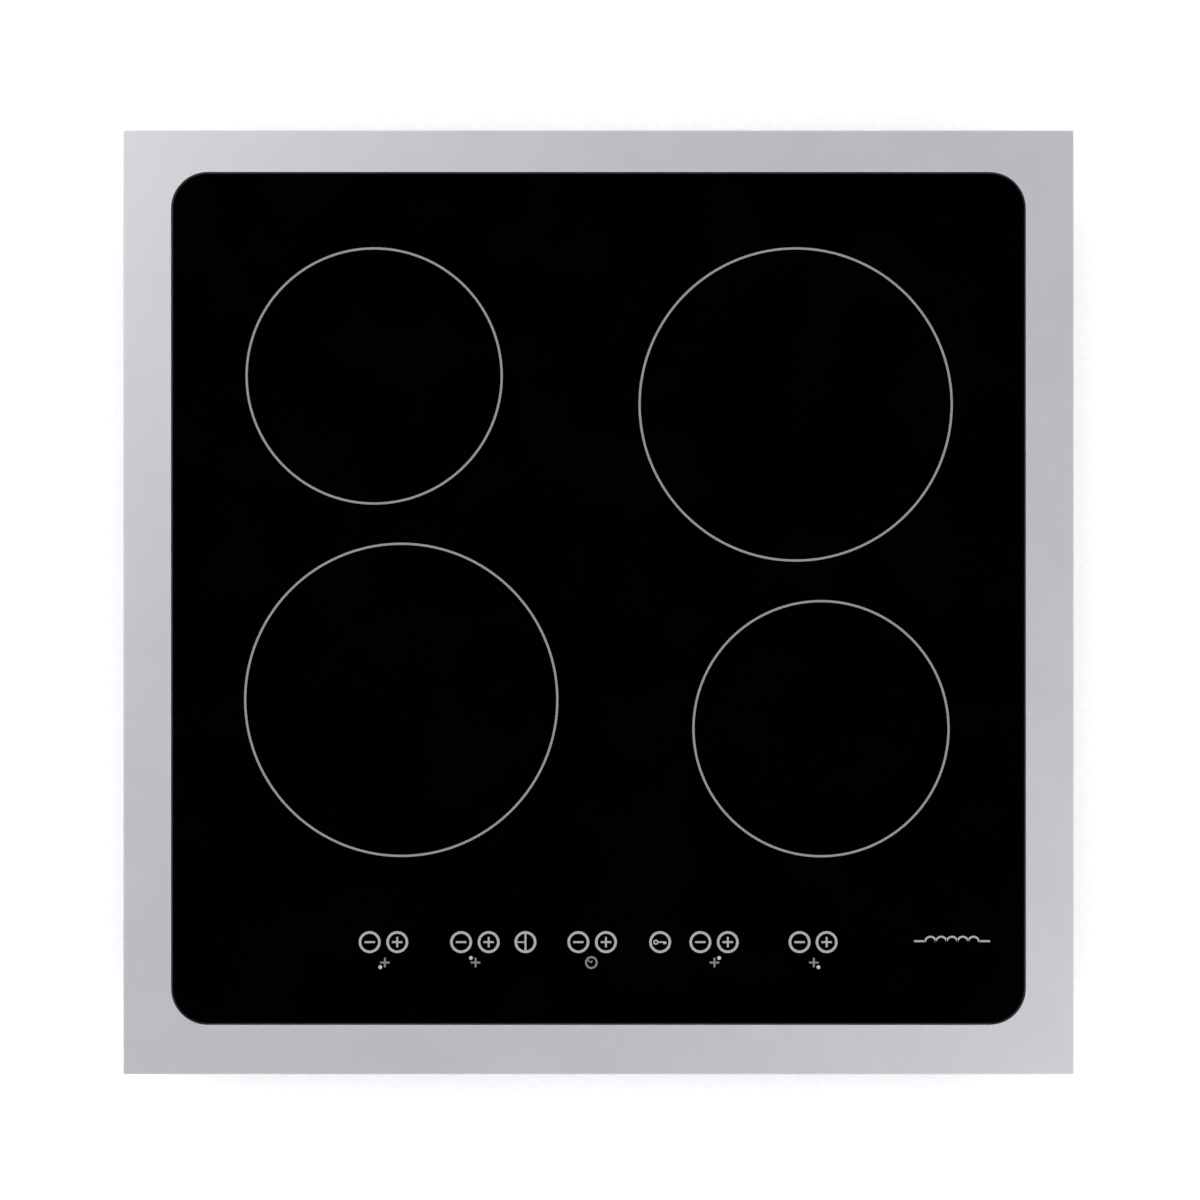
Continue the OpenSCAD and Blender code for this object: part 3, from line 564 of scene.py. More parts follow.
def flat_plate(outlines, low, high, edge):
    """Mesh of a plate with rounded rims. An outline is a closed list of (x, y); inner ones are holes."""
    curve = bpy.data.curves.new("outline", "CURVE")
    curve.dimensions = "2D"
    curve.fill_mode = "BOTH"
    curve.extrude = ((high - low) / 2 - edge) * MM
    curve.bevel_depth = edge * MM
    curve.bevel_resolution = 1
    curve.offset = -edge * MM
    for outline in outlines:
        spline = curve.splines.new("POLY")
        spline.points.add(len(outline) - 1)
        for point, (x, y) in zip(spline.points, outline):
            point.co = (x * MM, y * MM, 0, 1)
        spline.use_cyclic_u = True
    mesh = baked(in_scene("outline", curve))
    bpy.data.curves.remove(curve)
    mesh.transform(shift(0, 0, (low + high) / 2 * MM))
    turn_outward(mesh, WELD)
    return mesh


def joined(meshes):
    """One mesh from several."""
    work = bmesh.new()
    for mesh in meshes:
        work.from_mesh(mesh)
        bpy.data.meshes.remove(mesh)
    result = bpy.data.meshes.new("joined")
    work.to_mesh(result)
    work.free()
    return result


def carved(shape, cutter, operation="DIFFERENCE"):
    """Mesh of a shape with another cut from it or added to it."""
    target = in_scene("target", as_mesh(shape))
    tool = in_scene("tool", as_mesh(cutter))
    boolean = target.modifiers.new("carve", "BOOLEAN")
    boolean.operation = operation
    boolean.solver = "EXACT"
    boolean.object = tool
    result = baked(target)
    bpy.data.objects.remove(tool)
    return result


def loose_parts(node):
    """Boxes of the separate solids that make up a CAD node."""
    work = bmesh.new()
    work.from_mesh(frame["nodes"][node].data)
    bmesh.ops.remove_doubles(work, verts=work.verts, dist=WELD)
    left = set(work.verts)
    boxes = []
    while left:
        part, fringe = set(), {left.pop()}
        while fringe:
            vert = fringe.pop()
            part.add(vert)
            near = left & {edge.other_vert(vert) for edge in vert.link_edges}
            left -= near
            fringe |= near
        ends = (Vector([end(v.co[i] for v in part) for i in range(3)]) / MM for end in (min, max))
        boxes.append(tuple(ends))
    work.free()
    return sorted(boxes, key=lambda box: tuple(box[0]))


def at_middle(shape, low, high):
    """A shape on the Z axis, moved to the middle of a box in plan."""
    return moved(shape, shift(*((low + high) / 2).xy))


def at_parts(node, shape):
    """Copies of a shape at the middles of a node's separate solids, in plan."""
    places = {tuple(round(c, 2) for c in ((a + b) / 2).xy) for a, b in loose_parts(node)}
    return [moved(shape, shift(*place)) for place in sorted(places)]


# Materials

class Look:
    """Procedural material built up from noise, cells and bumps on one principled shader."""

    def __init__(self, name, **values):
        self.material = bpy.data.materials.new(name)
        self.material.use_nodes = True
        self.tree = self.material.node_tree
        self.shader = self.tree.nodes["Principled BSDF"]
        self.place = self.tree.nodes.new("ShaderNodeTexCoord").outputs["Object"]
        preset(self.shader, values)

    def node(self, kind, socket, source, **values):
        return new_node(self.tree, kind, socket, source, **values)

    def feed(self, node, socket):
        self.tree.links.new(node.outputs[0], self.shader.inputs[socket])

    def texture(self, kind, size, stretch, **values):
        """Texture node with features about size millimetres across, before any stretch."""
        place = self.node("Mapping", "Vector", self.place, Scale=stretch)
        return self.node(kind, "Vector", place.outputs[0], Scale=1 / (size * MM), **values)

    def noise(self, size, detail=3.0, stretch=(1, 1, 1), distort=0.0):
        node = self.texture("TexNoise", size, stretch, Detail=detail, Distortion=distort)
        return node.outputs["Fac"]

    def cells(self, size, output="Color", metric="EUCLIDEAN", stretch=(1, 1, 1)):
        node = self.texture("TexVoronoi", size, stretch)
        node.distance = metric
        return node.outputs[output]

    def tone(self, source, low, high, start=0.3, end=0.7):
        """Runs from one colour to another as a value goes from start to end."""
        node = self.node("ValToRGB", 0, source)
        first, last = node.color_ramp.elements
        first.position, last.position = start, end
        first.color, last.color = (*low, 1), (*high, 1)
        self.feed(node, "Base Color")

    def rough(self, source, low, high, start=0.3, end=0.7):
        """Runs from one roughness to another as a value goes from start to end."""
        values = {"From_Min": start, "From_Max": end, "To_Min": low, "To_Max": high}
        self.feed(self.node("MapRange", "Value", source, **values), "Roughness")

    def bump(self, source, depth, strength):
        """Raises the surface by depth millimetres where the value is 1."""
        values = {"Distance": depth * MM, "Strength": strength}
        self.feed(self.node("Bump", "Height", source, **values), "Normal")


def grained(name, low, high, rough, size, depth, strength, detail=3, stretch=(1, 1, 1),
            distort=0.0, cloud=0.0, **values):
    """Material whose roughness and relief follow a noise. Its tone does too, unless a cloud has a size."""
    look = Look(name, **values)
    grain = look.noise(size, detail, stretch, distort)
    look.tone(look.noise(cloud, 2) if cloud else grain, low, high)
    look.rough(grain, *rough)
    look.bump(grain, depth, strength)
    return look.material


def black_glass():
    """Opaque ceramic glass, polished, with the faint unevenness of rolled glass."""
    look = Look("black_glass", IOR=1.52)
    cloud = look.noise(60, 2)
    look.tone(cloud, [0.0001] * 3, [0.0003] * 3)
    look.rough(cloud, 0.02, 0.05)
    look.bump(look.noise(18, 1), 0.004, 0.15)
    return look.material


def enamel_print(name, level):
    """Grey enamel fired on the glass, a little grainy from the screen it was printed through."""
    return grained(name, [0.88 * level] * 3, [1.12 * level] * 3, (0.4, 0.55), 0.35, 0.01, 0.6)


def rubber(name, tone):
    """Dull silicone or rubber."""
    light = [c * 1.5 for c in tone]
    return grained(name, tone, light, (0.6, 0.75), 1.5, 0.03, 0.4, Specular_IOR_Level=0.25)


def foam():
    """Closed-cell foam strip, with its cut cells showing as small pits."""
    look = Look("foam", Roughness=0.9)
    cell = look.cells(0.5, "Distance")
    look.tone(cell, (0.012, 0.012, 0.013), (0.035, 0.035, 0.037), 0.1, 0.6)
    look.bump(cell, 0.15, 0.7)
    return look.material


def galvanised():
    """Zinc coated sheet, with spangle grains in slightly different greys."""
    look = Look("galvanised", Metallic=1.0)
    spangle = look.cells(7, stretch=(1, 1, 1.3))
    look.tone(spangle, (0.40, 0.41, 0.43), (0.58, 0.59, 0.61), 0.1, 0.9)
    look.rough(spangle, 0.34, 0.52)
    look.bump(look.noise(1.2, 4), 0.015, 0.4)
    return look.material


def felt():
    """Pressed ceramic fibre."""
    look = Look("felt", Roughness=0.95)
    fibre = look.noise(0.4, 5, distort=2.5)
    look.tone(fibre, (0.66, 0.64, 0.58), (0.85, 0.84, 0.80))
    look.bump(fibre, 0.2, 0.6)
    return look.material


def zinc():
    """Bright zinc plate on fasteners, faintly blue."""
    look = Look("zinc", Metallic=1.0)
    cloud = look.noise(3)
    look.tone(cloud, (0.56, 0.59, 0.63), (0.68, 0.70, 0.72))
    look.rough(cloud, 0.2, 0.36)
    look.bump(look.noise(0.4, 2), 0.01, 0.4)
    return look.material


def moulded(name, tone, rough):
    """Moulded plastic with a fine spark-eroded texture."""
    dark = [c * 0.88 for c in tone]
    return grained(name, dark, tone, (rough - 0.06, rough + 0.08), 0.6, 0.03, 0.5, cloud=25)


def circuit_board():
    """Green solder mask, lighter over the straight-edged areas of copper under it."""
    look = Look("circuit_board", Coat_Weight=0.3)
    copper = look.cells(9, metric="CHEBYCHEV", stretch=(1, 0.35, 0.01))
    look.tone(copper, (0.010, 0.070, 0.030), (0.020, 0.125, 0.050), 0.45, 0.5)
    look.bump(copper, 0.04, 0.3)
    look.rough(look.noise(2), 0.3, 0.42)
    return look.material


def rolled(name, low, high, rough):
    """Rolled sheet or strip with drawn grain."""
    return grained(name, low, high, rough, 0.5, 0.01, 0.4, stretch=(0.04, 1, 1), Metallic=1.0)


def lacquered(name, tone):
    """Smooth lacquered case, such as a film capacitor's."""
    dark = [c * 0.85 for c in tone]
    return grained(name, dark, tone, (0.22, 0.36), 8, 0.05, 0.3, Coat_Weight=0.5)


LOOKS = {  # the record's material slots
    "trim_steel": grained(
        "satin_steel", (0.480, 0.485, 0.508), (0.495, 0.500, 0.523), (0.42, 0.48), 0.25, 0.004, 0.5,
        4, stretch=(0.02, 1, 1), cloud=35, Metallic=1.0),
    "black_glass": black_glass(),
    "sealant": rubber("sealant", (0.006, 0.006, 0.0065)),
    "print_ink": enamel_print("key_enamel", 0.225),
    "foam": foam(),
    "zinc_fasteners": zinc(),
    "galvanised_sheet": galvanised(),
    "label_foil": grained(
        "label_foil", (0.74, 0.75, 0.76), (0.82, 0.83, 0.83), (0.3, 0.42), 0.4, 0.01, 0.3,
        stretch=(0.05, 1, 1)),
    "spring_steel": rolled("spring_steel", (0.40, 0.40, 0.41), (0.52, 0.52, 0.53), (0.27, 0.40)),
    "black_plastic": moulded("black_plastic", (0.022, 0.022, 0.024), 0.55),
    "ivory_plastic": moulded("ivory_plastic", (0.70, 0.65, 0.52), 0.5),
    "brass": grained(
        "machined_brass", (0.62, 0.43, 0.15), (0.80, 0.60, 0.26), (0.2, 0.35), 0.3, 0.01, 0.4, Metallic=1.0),
    "grommet_rubber": rubber("grommet_rubber", (0.010, 0.010, 0.010)),
    "white_plastic": moulded("white_plastic", (0.78, 0.78, 0.75), 0.45),
    "circuit_board": circuit_board(),
    "aluminium": rolled("aluminium", (0.66, 0.67, 0.69), (0.78, 0.79, 0.80), (0.30, 0.43)),
    "black_epoxy": moulded("black_epoxy", (0.014, 0.014, 0.015), 0.4),
    "capacitor_case": lacquered("capacitor_case", (0.07, 0.17, 0.38)),
    "yellow_film": lacquered("yellow_film", (0.75, 0.55, 0.06)),
    "enamelled_copper": grained(
        "wound_copper", (0.42, 0.15, 0.06), (0.70, 0.33, 0.15), (0.22, 0.4), 0.35, 0.04, 0.6, 2,
        distort=1.0, Metallic=1.0),
    "ferrite": grained(
        "sintered", (0.03, 0.03, 0.032), (0.075, 0.075, 0.078), (0.6, 0.8), 0.5, 0.05, 0.5, 5),
    "insulation_felt": felt(),
    "sensor_ceramic": grained(
        "glazed", (0.74, 0.73, 0.70), (0.86, 0.85, 0.83), (0.2, 0.35), 2.5, 0.02, 0.3, Coat_Weight=0.4),
    "display_window": lacquered("display_window", (0.035, 0.006, 0.006)),
    "ribbon_grey": moulded("ribbon_grey", (0.45, 0.45, 0.46), 0.45),
    "wire_sleeve": moulded("wire_sleeve", (0.38, 0.02, 0.02), 0.5),
}
ZONE_INK = enamel_print("zone_enamel", 0.155)
SIGN_INK = enamel_print("sign_enamel", 0.105)
DOT_INK = enamel_print("dot_enamel", 0.30)


def weigh_normals(thing):
    """Shades the large flat faces flat, between smooth rounded edges."""
    weighted = thing.modifiers.new("flat_faces_first", "WEIGHTED_NORMAL")
    weighted.keep_sharp = True


def add(name, shape, node, body="cooktop", slot=None, look=None):
    """Puts a piece in the scene on a CAD body, in place of a CAD node and in its slot by default."""
    slot = slot or SLOTS[node]
    mesh = as_mesh(shape)
    mesh.name = name
    mesh.polygons.foreach_set("use_smooth", [True] * len(mesh.polygons))
    mesh.set_sharp_from_angle(angle=math.radians(SMOOTH_ANGLE))
    mesh.materials.clear()
    mesh.materials.append(look or LOOKS[slot])
    piece = in_scene(name, mesh)
    weigh_normals(piece)
    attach(piece, body)
    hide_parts(node)


def dress_cad_nodes():
    """Gives every CAD node the procedural material of its slot."""
    for node, slot in SLOTS.items():
        materials = frame["nodes"][node].data.materials
        materials.clear()
        materials.append(LOOKS[slot])


def soften_cad_nodes():
    """Breaks the sharp edges of the CAD nodes that stay in sight."""
    for node in frame["nodes"].values():
        if node.hide_render:
            continue
        weld = node.modifiers.new("weld", "WELD")
        weld.merge_threshold = WELD
        bevel = node.modifiers.new("edges", "BEVEL")
        bevel.width = CAD_EDGE * MM
        bevel.segments = 2
        bevel.limit_method = "ANGLE"
        bevel.angle_limit = math.radians(BEVEL_ANGLE)
        bevel.use_clamp_overlap = True
        weigh_normals(node)


# Trim frame, glass, joint and seal

def make_trim():
    """Pressed frame: lip round the outside, flat top, wall down beside the glass and a ledge under it."""
    outer = box_line(TRIM_HIGH - TRIM_LOW, TRIM_CORNER, least=0.3)
    inner = inset_line(glass_line(CORNER_STEPS), -JOINT)
    low = TRIM_LOW.z
    ledge_top = LEDGE_LOW + SHEET
    loops = [outer(SHEET, low + BURR), outer(SHEET - BURR, low), outer(BURR, low), outer(0, low + BURR)]
    loops += bend_over(outer, OUTER_BEND, TOP) + bend_up(inner, -INNER_BEND, TOP)
    loops += [inner(0, ledge_top), inner(LEDGE_WIDTH, ledge_top), inner(LEDGE_WIDTH, LEDGE_LOW)]
    loops += [inner(-SHEET, LEDGE_LOW), inner(-SHEET, TOP - SHEET), outer(SHEET, TOP - SHEET)]
    stud = loft(rimmed(round_line(STUD_RADIUS, 20), STUD_LOW, TOP - SHEET, edge=0.2))
    shapes = [loft(loops, closed=True), *at_parts("stud_nuts", stud)]
    add("trim_frame_pressing", merged(shapes), "trim_frame")


def make_glass():
    loops = rimmed(glass_line(), GLASS_LOW.z, TOP - PRINT_THICK, ARRIS)
    add("ceramic_glass", loft(loops), "glass_plate")


def make_sealant():
    """Bead in the joint, a little hollow on top, and the bed of sealant that the glass lies on."""
    top = TOP - PRINT_THICK - ARRIS
    low = node_box("glass_sealant")[0].z
    bed = SHEET - LEDGE_WIDTH + JOINT
    bead = [(0, GLASS_LOW.z), (JOINT, GLASS_LOW.z), (JOINT, top), (JOINT / 2, top - BEAD_DIP), (0, top)]
    line = glass_line()
    sections = (bead, rectangle(bed, JOINT, low, GLASS_LOW.z))
    shapes = [loft([line(-out, z) for out, z in section], closed=True) for section in sections]
    add("silicone_joint", merged(shapes), "glass_sealant")


def make_seal():
    """Foam strip under the edge of the frame, with soft lower corners."""
    low, high, third = SEAL_LOW.z, SEAL_HIGH.z, SEAL_SOFT / 3
    section = [(0, high), (0, low + SEAL_SOFT), (third, low + third), (SEAL_SOFT, low)]
    section += [(SEAL_WIDTH - inset, z) for inset, z in section[::-1]]
    line = box_line(SEAL_HIGH - SEAL_LOW, SEAL_CORNER, least=SEAL_CORNER)
    add("foam_strip", loft([line(*point) for point in section], closed=True), "worktop_seal")


# Underbox

def half_lines(row, pitch):
    """Places of two mirrored rows of openings."""
    count, start = row
    return [side * (start + pitch * i) for i in range(count) for side in (-1, 1)]


def flared_slot(length, width):
    """Cutter for a slot in sheet, along Y, that enters the sheet at z = 0 with a rolled edge."""
    levels = [(-OVER, FLARE), (0, FLARE), (FLARE / 3, FLARE / 3), (FLARE, 0), (SHEET + OVER, 0)]
    return loft([slot_loop(length, width, z, grow, 5) for z, grow in levels])


def guard_slots():
    """Cutters for the ringed openings under a blower."""
    cutters = []
    sector = 2 * math.pi / GUARD_SPOKES
    levels = [(-OVER, FLARE), (0, FLARE), (FLARE, 0), (SHEET + OVER, 0)]
    for r in GUARD_RINGS:
        margin = math.asin((GUARD_SPOKE + GUARD_SLOT) / 2 / r)
        for k in range(GUARD_SPOKES):
            ends = (sector * k + margin, sector * (k + 1) - margin)
            cutters.append(loft([arc_slot_loop(r, GUARD_SLOT, *ends, z, grow) for z, grow in levels]))
    return cutters


def vent_cutters():
    """Cutters for the openings in the floor and walls that let air through."""
    vent = moved(flared_slot(*VENT), shift(0, VENT_Y, FLOOR_LOW))
    cutters = [moved(vent, shift(x, 0)) for x in half_lines(VENTS, VENT_PITCH)]
    for side in SIDES:
        middle = node_middle(f"blower_rotor_{side}")
        cutters += [moved(slot, shift(middle.x, middle.y, FLOOR_LOW)) for slot in guard_slots()]
    louvre = moved(flared_slot(*LOUVRE), spin(-90, "X"))
    wall_x = BOX_HIGH.x - FLANGE
    for row, turn, x, y in (
        (FRONT_LOUVRES, 0, 0, BOX_LOW.y + FLANGE),
        (REAR_LOUVRES, 180, REAR_LOUVRE_X, BOX_HIGH.y - FLANGE),
        (SIDE_LOUVRES, 90, wall_x, BOX_MID.y),
        (SIDE_LOUVRES, -90, -wall_x, BOX_MID.y),
    ):
        wall = shift(x, y, LOUVRE_MID) @ spin(turn, "Z")
        cutters += [moved(louvre, wall @ shift(along, 0)) for along in half_lines(row, LOUVRE_PITCH)]
    return cutters


def hole_cutters():
    """Cutters for the terminal cover's opening and the holes for screws, studs and the cable."""
    grommet = node_middle("cable_grommet")
    wall = shift(grommet.x, BOX_HIGH.y - FLANGE, grommet.z) @ spin(-90, "X")
    holes = [moved(drum(GROMMET_NECK, -2 * SHEET, 2 * SHEET), wall)]
    for node, r, low in (
        ("clamp_screws", PIVOT_RADIUS, STEP_LOW),
        ("stud_nuts", STUD_RADIUS, TOP - 2 * SHEET),
        ("earth_screw", EARTH_RADIUS, FLOOR_LOW),
    ):
        holes += at_parts(node, drum(r + HOLE_PLAY, low - OVER, low + SHEET + OVER))
    low, high = node_box("terminal_cover")
    line = box_line(high - low, COVER_CORNER, steps=SMALL_STEPS)
    opening = loft([line(-COVER_PLAY, z) for z in (FLOOR_LOW - OVER, FLOOR_LOW + SHEET + OVER)])
    return holes + [at_middle(opening, low, high)]


def rib_cutters(wall):
    """Cutters for the pressed ribs: their outer faces for wall 0, and their backs for a sheet's wall."""
    def rib(length, width, depth):
        draft = depth * 0.6
        levels = [(-OVER, draft), (0, draft), (depth * 0.8, 0), (depth, -0.3)]
        return loft([slot_loop(length, width, z, grow + wall) for z, grow in levels])

    along = spin(90, "Z")
    cutters = [moved(rib(*FLOOR_RIB), shift(x, y, FLOOR_LOW + wall) @ along) for x, y in FLOOR_RIBS]
    wall_x = BOX_HIGH.x - FLANGE - wall
    for side in (-1, 1):
        for end in (-1, 1):
            place = shift(side * wall_x, BOX_MID.y + end * SIDE_RIB_AT[0], SIDE_RIB_AT[1])
            cutters.append(moved(rib(*SIDE_RIB), place @ spin(-90 * side, "Y")))
    return cutters


def pan(line, low, high, bend):
    """Solid with a bent lower edge."""
    return loft(bend_up(line, bend, low) + [line(0, high)])


def make_underbox():
    """Pressed box: a flange under the trim frame, a step for the clamps and a lower pan on four feet."""
    rim = TOP - SHEET
    size = BOX_HIGH - BOX_LOW - Vector((2 * FLANGE, 2 * FLANGE, 0))
    upper = box_line(size, BOX_CORNER, BOX_MID.y)
    lower = box_line((size.x - 2 * STEP, size.y), LOWER_CORNER, BOX_MID.y, least=0.5)
    loops = bend_up(upper, PRESS_BEND, STEP_LOW) + bend_over(upper, -PRESS_BEND, rim - SHEET)
    loops += [upper(-FLANGE, rim - SHEET), upper(-FLANGE, rim)]
    foot = pan(round_line(FOOT_RADIUS, 40), 0, FLOOR_LOW + SHEET, FOOT_BEND)
    shell = carved(loft(loops), pan(lower, FLOOR_LOW, STEP_LOW + SHEET, PRESS_BEND), "UNION")
    shell = carved(shell, merged([moved(foot, shift(*place)) for place in FEET]), "UNION")

    void = carved(
        pan(inset_line(upper, SHEET), STEP_LOW + SHEET, rim + OVER, SHEET),
        pan(inset_line(lower, SHEET), FLOOR_LOW + SHEET, STEP_LOW + 3 * SHEET, SHEET),
        "UNION")
    hollow = drum(FOOT_RADIUS - SHEET, SHEET, FLOOR_LOW + 2 * SHEET)
    void = carved(void, merged([moved(hollow, shift(*place)) for place in FEET]), "UNION")
    void = carved(void, merged(rib_cutters(SHEET)))
    shell = carved(shell, void)
    for cutters in (rib_cutters(0), vent_cutters(), hole_cutters()):
        shell = carved(shell, merged(cutters))
    add("pressed_underbox", shell, "underbox")


# Clamps and fasteners

def make_clamps():
    """Swing clamps of thick spring strip with a raised tip, each on its own body."""
    for end in sorted(CORNERS):
        node = f"clamp_{end}"
        low, high = node_box(node)
        mid = (low + high) / 2
        length = high.y - low.y
        inward = -1 if mid.y > 0 else 1
        pivot_y = mid.y - inward * (length - CLAMP_WIDTH) / 2
        outline = [(p + mid).xy for p in slot_loop(length, CLAMP_WIDTH, z=0, steps=16)]
        hole = arc_points(mid.x, pivot_y, PIVOT_RADIUS + PIVOT_PLAY, turns(32))
        top = CLAMP_LOW + CLAMP_THICK
        strip = flat_plate([outline, hole], CLAMP_LOW, top, edge=0.4)
        tip_y = pivot_y + inward * (CLAMP_LENGTH - CLAMP_TIP[1] / 2)
        line = box_line(CLAMP_TIP, TIP_CORNER, steps=SMALL_STEPS, least=TIP_CORNER)
        tip = loft(rimmed(line, top - TIP_SINK, high.z, edge=0.35))
        mesh = joined([strip, as_mesh(moved(tip, shift(mid.x, tip_y)))])
        add(f"swing_{node}", mesh, node, node)


def hex_nut(r, hole, low, high):
    """Hexagon nut with its corners chamfered and its bore countersunk."""
    flat = r * math.cos(math.pi / 6)
    chamfer = (r - flat) * 0.6
    loops = [hex_loop(r, low, flat), hex_loop(r, low + chamfer, r), hex_loop(r, high - chamfer, r)]
    bore = [(hole + chamfer, high), (hole, high - chamfer), (hole, low + chamfer), (hole + chamfer, low)]
    return loft(loops + [hex_loop(r, high, flat)] + turned(bore), closed=True)


def threaded(r, low, high):
    """Loops of a threaded shank from one level to another, with a chamfered end."""
    count = max(2, round((high - low) / THREAD_PITCH))
    step = (high - low) / count
    loops = []
    for i in range(count):
        loops += [circle_loop(r, low + i * step), circle_loop(r * 0.9, low + (i + 0.5) * step)]
    return loops + [circle_loop(r * 0.8, high)]


def make_clamp_bolts():
    """Screws with a hexagon socket that the clamps turn on, and their nuts."""
    low, high = node_box("clamp_screws")
    head = CLAMP_LOW - HEAD_GAP
    loops = [hex_loop(HEX_KEY, low.z + depth, HEX_KEY) for depth in (KEY_DEPTH, 0.2)]
    loops.append(hex_loop(HEX_KEY + 0.2, low.z, HEX_KEY + 0.2))
    profile = [(SCREW_HEAD - 0.5, low.z), (SCREW_HEAD, low.z + 0.5), (SCREW_HEAD, head - 0.2)]
    profile += [(SCREW_HEAD - 0.2, head), (PIVOT_RADIUS, head)]
    bolt = loft(loops + turned(profile) + threaded(PIVOT_RADIUS, STEP_LOW, high.z))
    step_top = STEP_LOW + SHEET
    nut = hex_nut(CLAMP_NUT[0], PIVOT_RADIUS, step_top, step_top + CLAMP_NUT[1])
    add("clamp_bolts", merged(at_parts("clamp_screws", merged([bolt, nut]))), "clamp_screws")


def make_trim_nuts():
    low, high = node_box("stud_nuts")
    nuts = at_parts("stud_nuts", hex_nut(STUD_NUT, STUD_RADIUS, low.z, high.z))
    add("trim_nuts", merged(nuts), "stud_nuts")


def make_earth_bolt():
    low, high = node_box("earth_screw")
    r = (high.x - low.x) / 2
    floor_top = FLOOR_LOW + SHEET
    profile = [(r * 0.7, low.z), (r, low.z + 0.5), (r, FLOOR_LOW), (EARTH_RADIUS, FLOOR_LOW)]
    bolt = loft(turned(profile) + threaded(EARTH_RADIUS, floor_top, high.z))
    nut = hex_nut(EARTH_NUT[0], EARTH_RADIUS, floor_top, floor_top + EARTH_NUT[1])
    add("earth_bolt", merged(at_parts("earth_screw", merged([bolt, nut]))), "earth_screw")


def make_board_screws():
    """Pan-head screws with a cross recess."""
    outline = cross_line(0, 0, *RECESS)[0]
    screws, recesses = [], []
    for low, high in loose_parts("mounting_screws"):
        seat = high.z - PAN_HEIGHT
        r = (high.x - low.x) / 2
        profile = [(SHANK_RADIUS * 0.7, low.z), (SHANK_RADIUS, low.z + 0.5), (SHANK_RADIUS, seat), (r, seat)]
        profile += [(r, seat + PAN_HEIGHT * 0.5), (r * 0.85, seat + PAN_HEIGHT * 0.85), (r * 0.5, high.z)]
        screws.append(at_middle(loft(turned(profile, 24)), low, high))
        levels = (high.z - PAN_HEIGHT * 0.6, high.z + OVER)
        recesses.append(at_middle(loft([at_level(outline, z) for z in levels]), low, high))
    add("board_screws", carved(merged(screws), merged(recesses)), "mounting_screws")


def make_hinge_pin():
    low, high = node_box("cover_hinge_pin")
    middle = (low + high) / 2
    pin = loft(rimmed(round_line((high.z - low.z) / 2, 24), low.x, high.x, edge=0.3))
    pin = moved(pin, shift(0, middle.y, middle.z) @ spin(90, "Y"))
    add("hinge_pin", pin, "cover_hinge_pin")


# Terminal compartment

def make_grommet():
    """Rubber ring with a lip on each side of the wall and a groove for it."""
    low, high = node_box("cable_grommet")
    middle = (low + high) / 2
    r = (high.x - low.x) / 2
    length = high.y - low.y
    corners = [(CABLE_RADIUS, 0), (r, 0), (r, GROMMET_LIP), (GROMMET_NECK, GROMMET_LIP)]
    corners += [(reach, length - y) for reach, y in corners[::-1]]
    ring = moved(lathe(softened(corners, radius=0.7)), shift(middle.x, low.y, middle.z) @ spin(-90, "X"))
    add("grommet", ring, "cable_grommet")


def make_cover():
    """Moulded cover with hinge knuckles, a finger notch and grip grooves, on its hinge."""
    low, high = node_box("terminal_cover")
    top = COVER_LOW + COVER_THICK
    front = HINGE[0] + COVER_EDGE
    middle = (low.x + high.x) / 2
    notch = arc_points(middle, high.y, NOTCH_RADIUS, sweep(0, -math.pi, NOTCH_STEPS))
    corners = [(low.x, front), (high.x, front), (high.x, high.y), *notch, (low.x, high.y)]
    cover = flat_plate([softened(corners, radius=1.2)], COVER_LOW, top, edge=0.4)
    hinge = shift(0, *HINGE) @ spin(90, "Y")
    line = box_line(TAB, TAB_CORNER, HINGE[0] + TAB[1] / 2, steps=3, least=TAB_CORNER)
    tab = loft(rimmed(line, COVER_LOW, top, edge=0.2))
    for x in KNUCKLES_AT:
        ends = (x - KNUCKLE[1] / 2, x + KNUCKLE[1] / 2)
        barrel = loft(rimmed(round_line(KNUCKLE[0], 32), *ends, edge=0.3))
        cover = carved(cover, moved(barrel, hinge), "UNION")
        cover = carved(cover, moved(tab, shift(x, 0)), "UNION")
    levels = ((-OVER, GRIP_DRAFT), (0, GRIP_DRAFT), (GRIP[2], -GRIP_DRAFT))
    groove = loft([slot_loop(GRIP[0], GRIP[1], z, grow, 5) for z, grow in levels])
    cuts = [moved(drum(PIN_RADIUS, low.x, high.x), hinge)]
    for i in range(-GRIPS, GRIPS + 1):
        cuts.append(moved(groove, shift(middle + i * GRIP_PITCH, high.y - GRIP_BACK, COVER_LOW)))
    add("hinged_cover", carved(cover, merged(cuts)), "terminal_cover", "terminal_cover")


# Coils, springs, components and rotors

def spiral(inner, outer, z, r):
    """Flat spiral of round litz wire between two radii."""
    first, last = inner + r, outer - r
    steps = max(1, round((last - first) / LITZ_PITCH)) * TURN_STEPS
    path = []
    for i in range(steps + 1):
        a = 2 * math.pi * i / TURN_STEPS
        reach = first + (last - first) * i / steps
        path.append(Vector((reach * math.cos(a), reach * math.sin(a), z)))
    return swept(path, r)


def make_coils():
    """Two flat windings of litz wire for each zone, on its former."""
    for end in CORNERS:
        low, high = node_box(f"coil_{end}")
        w, r = (high.x - low.x) / 2, (high.z - low.z) / 2
        z = low.z + r
        shapes = [spiral(COIL_HOLE, WINDING_SPLIT[0] * w, z, r), spiral(WINDING_SPLIT[1] * w, w, z, r)]
        add(f"winding_{end}", at_middle(merged(shapes), low, high), f"coil_{end}")


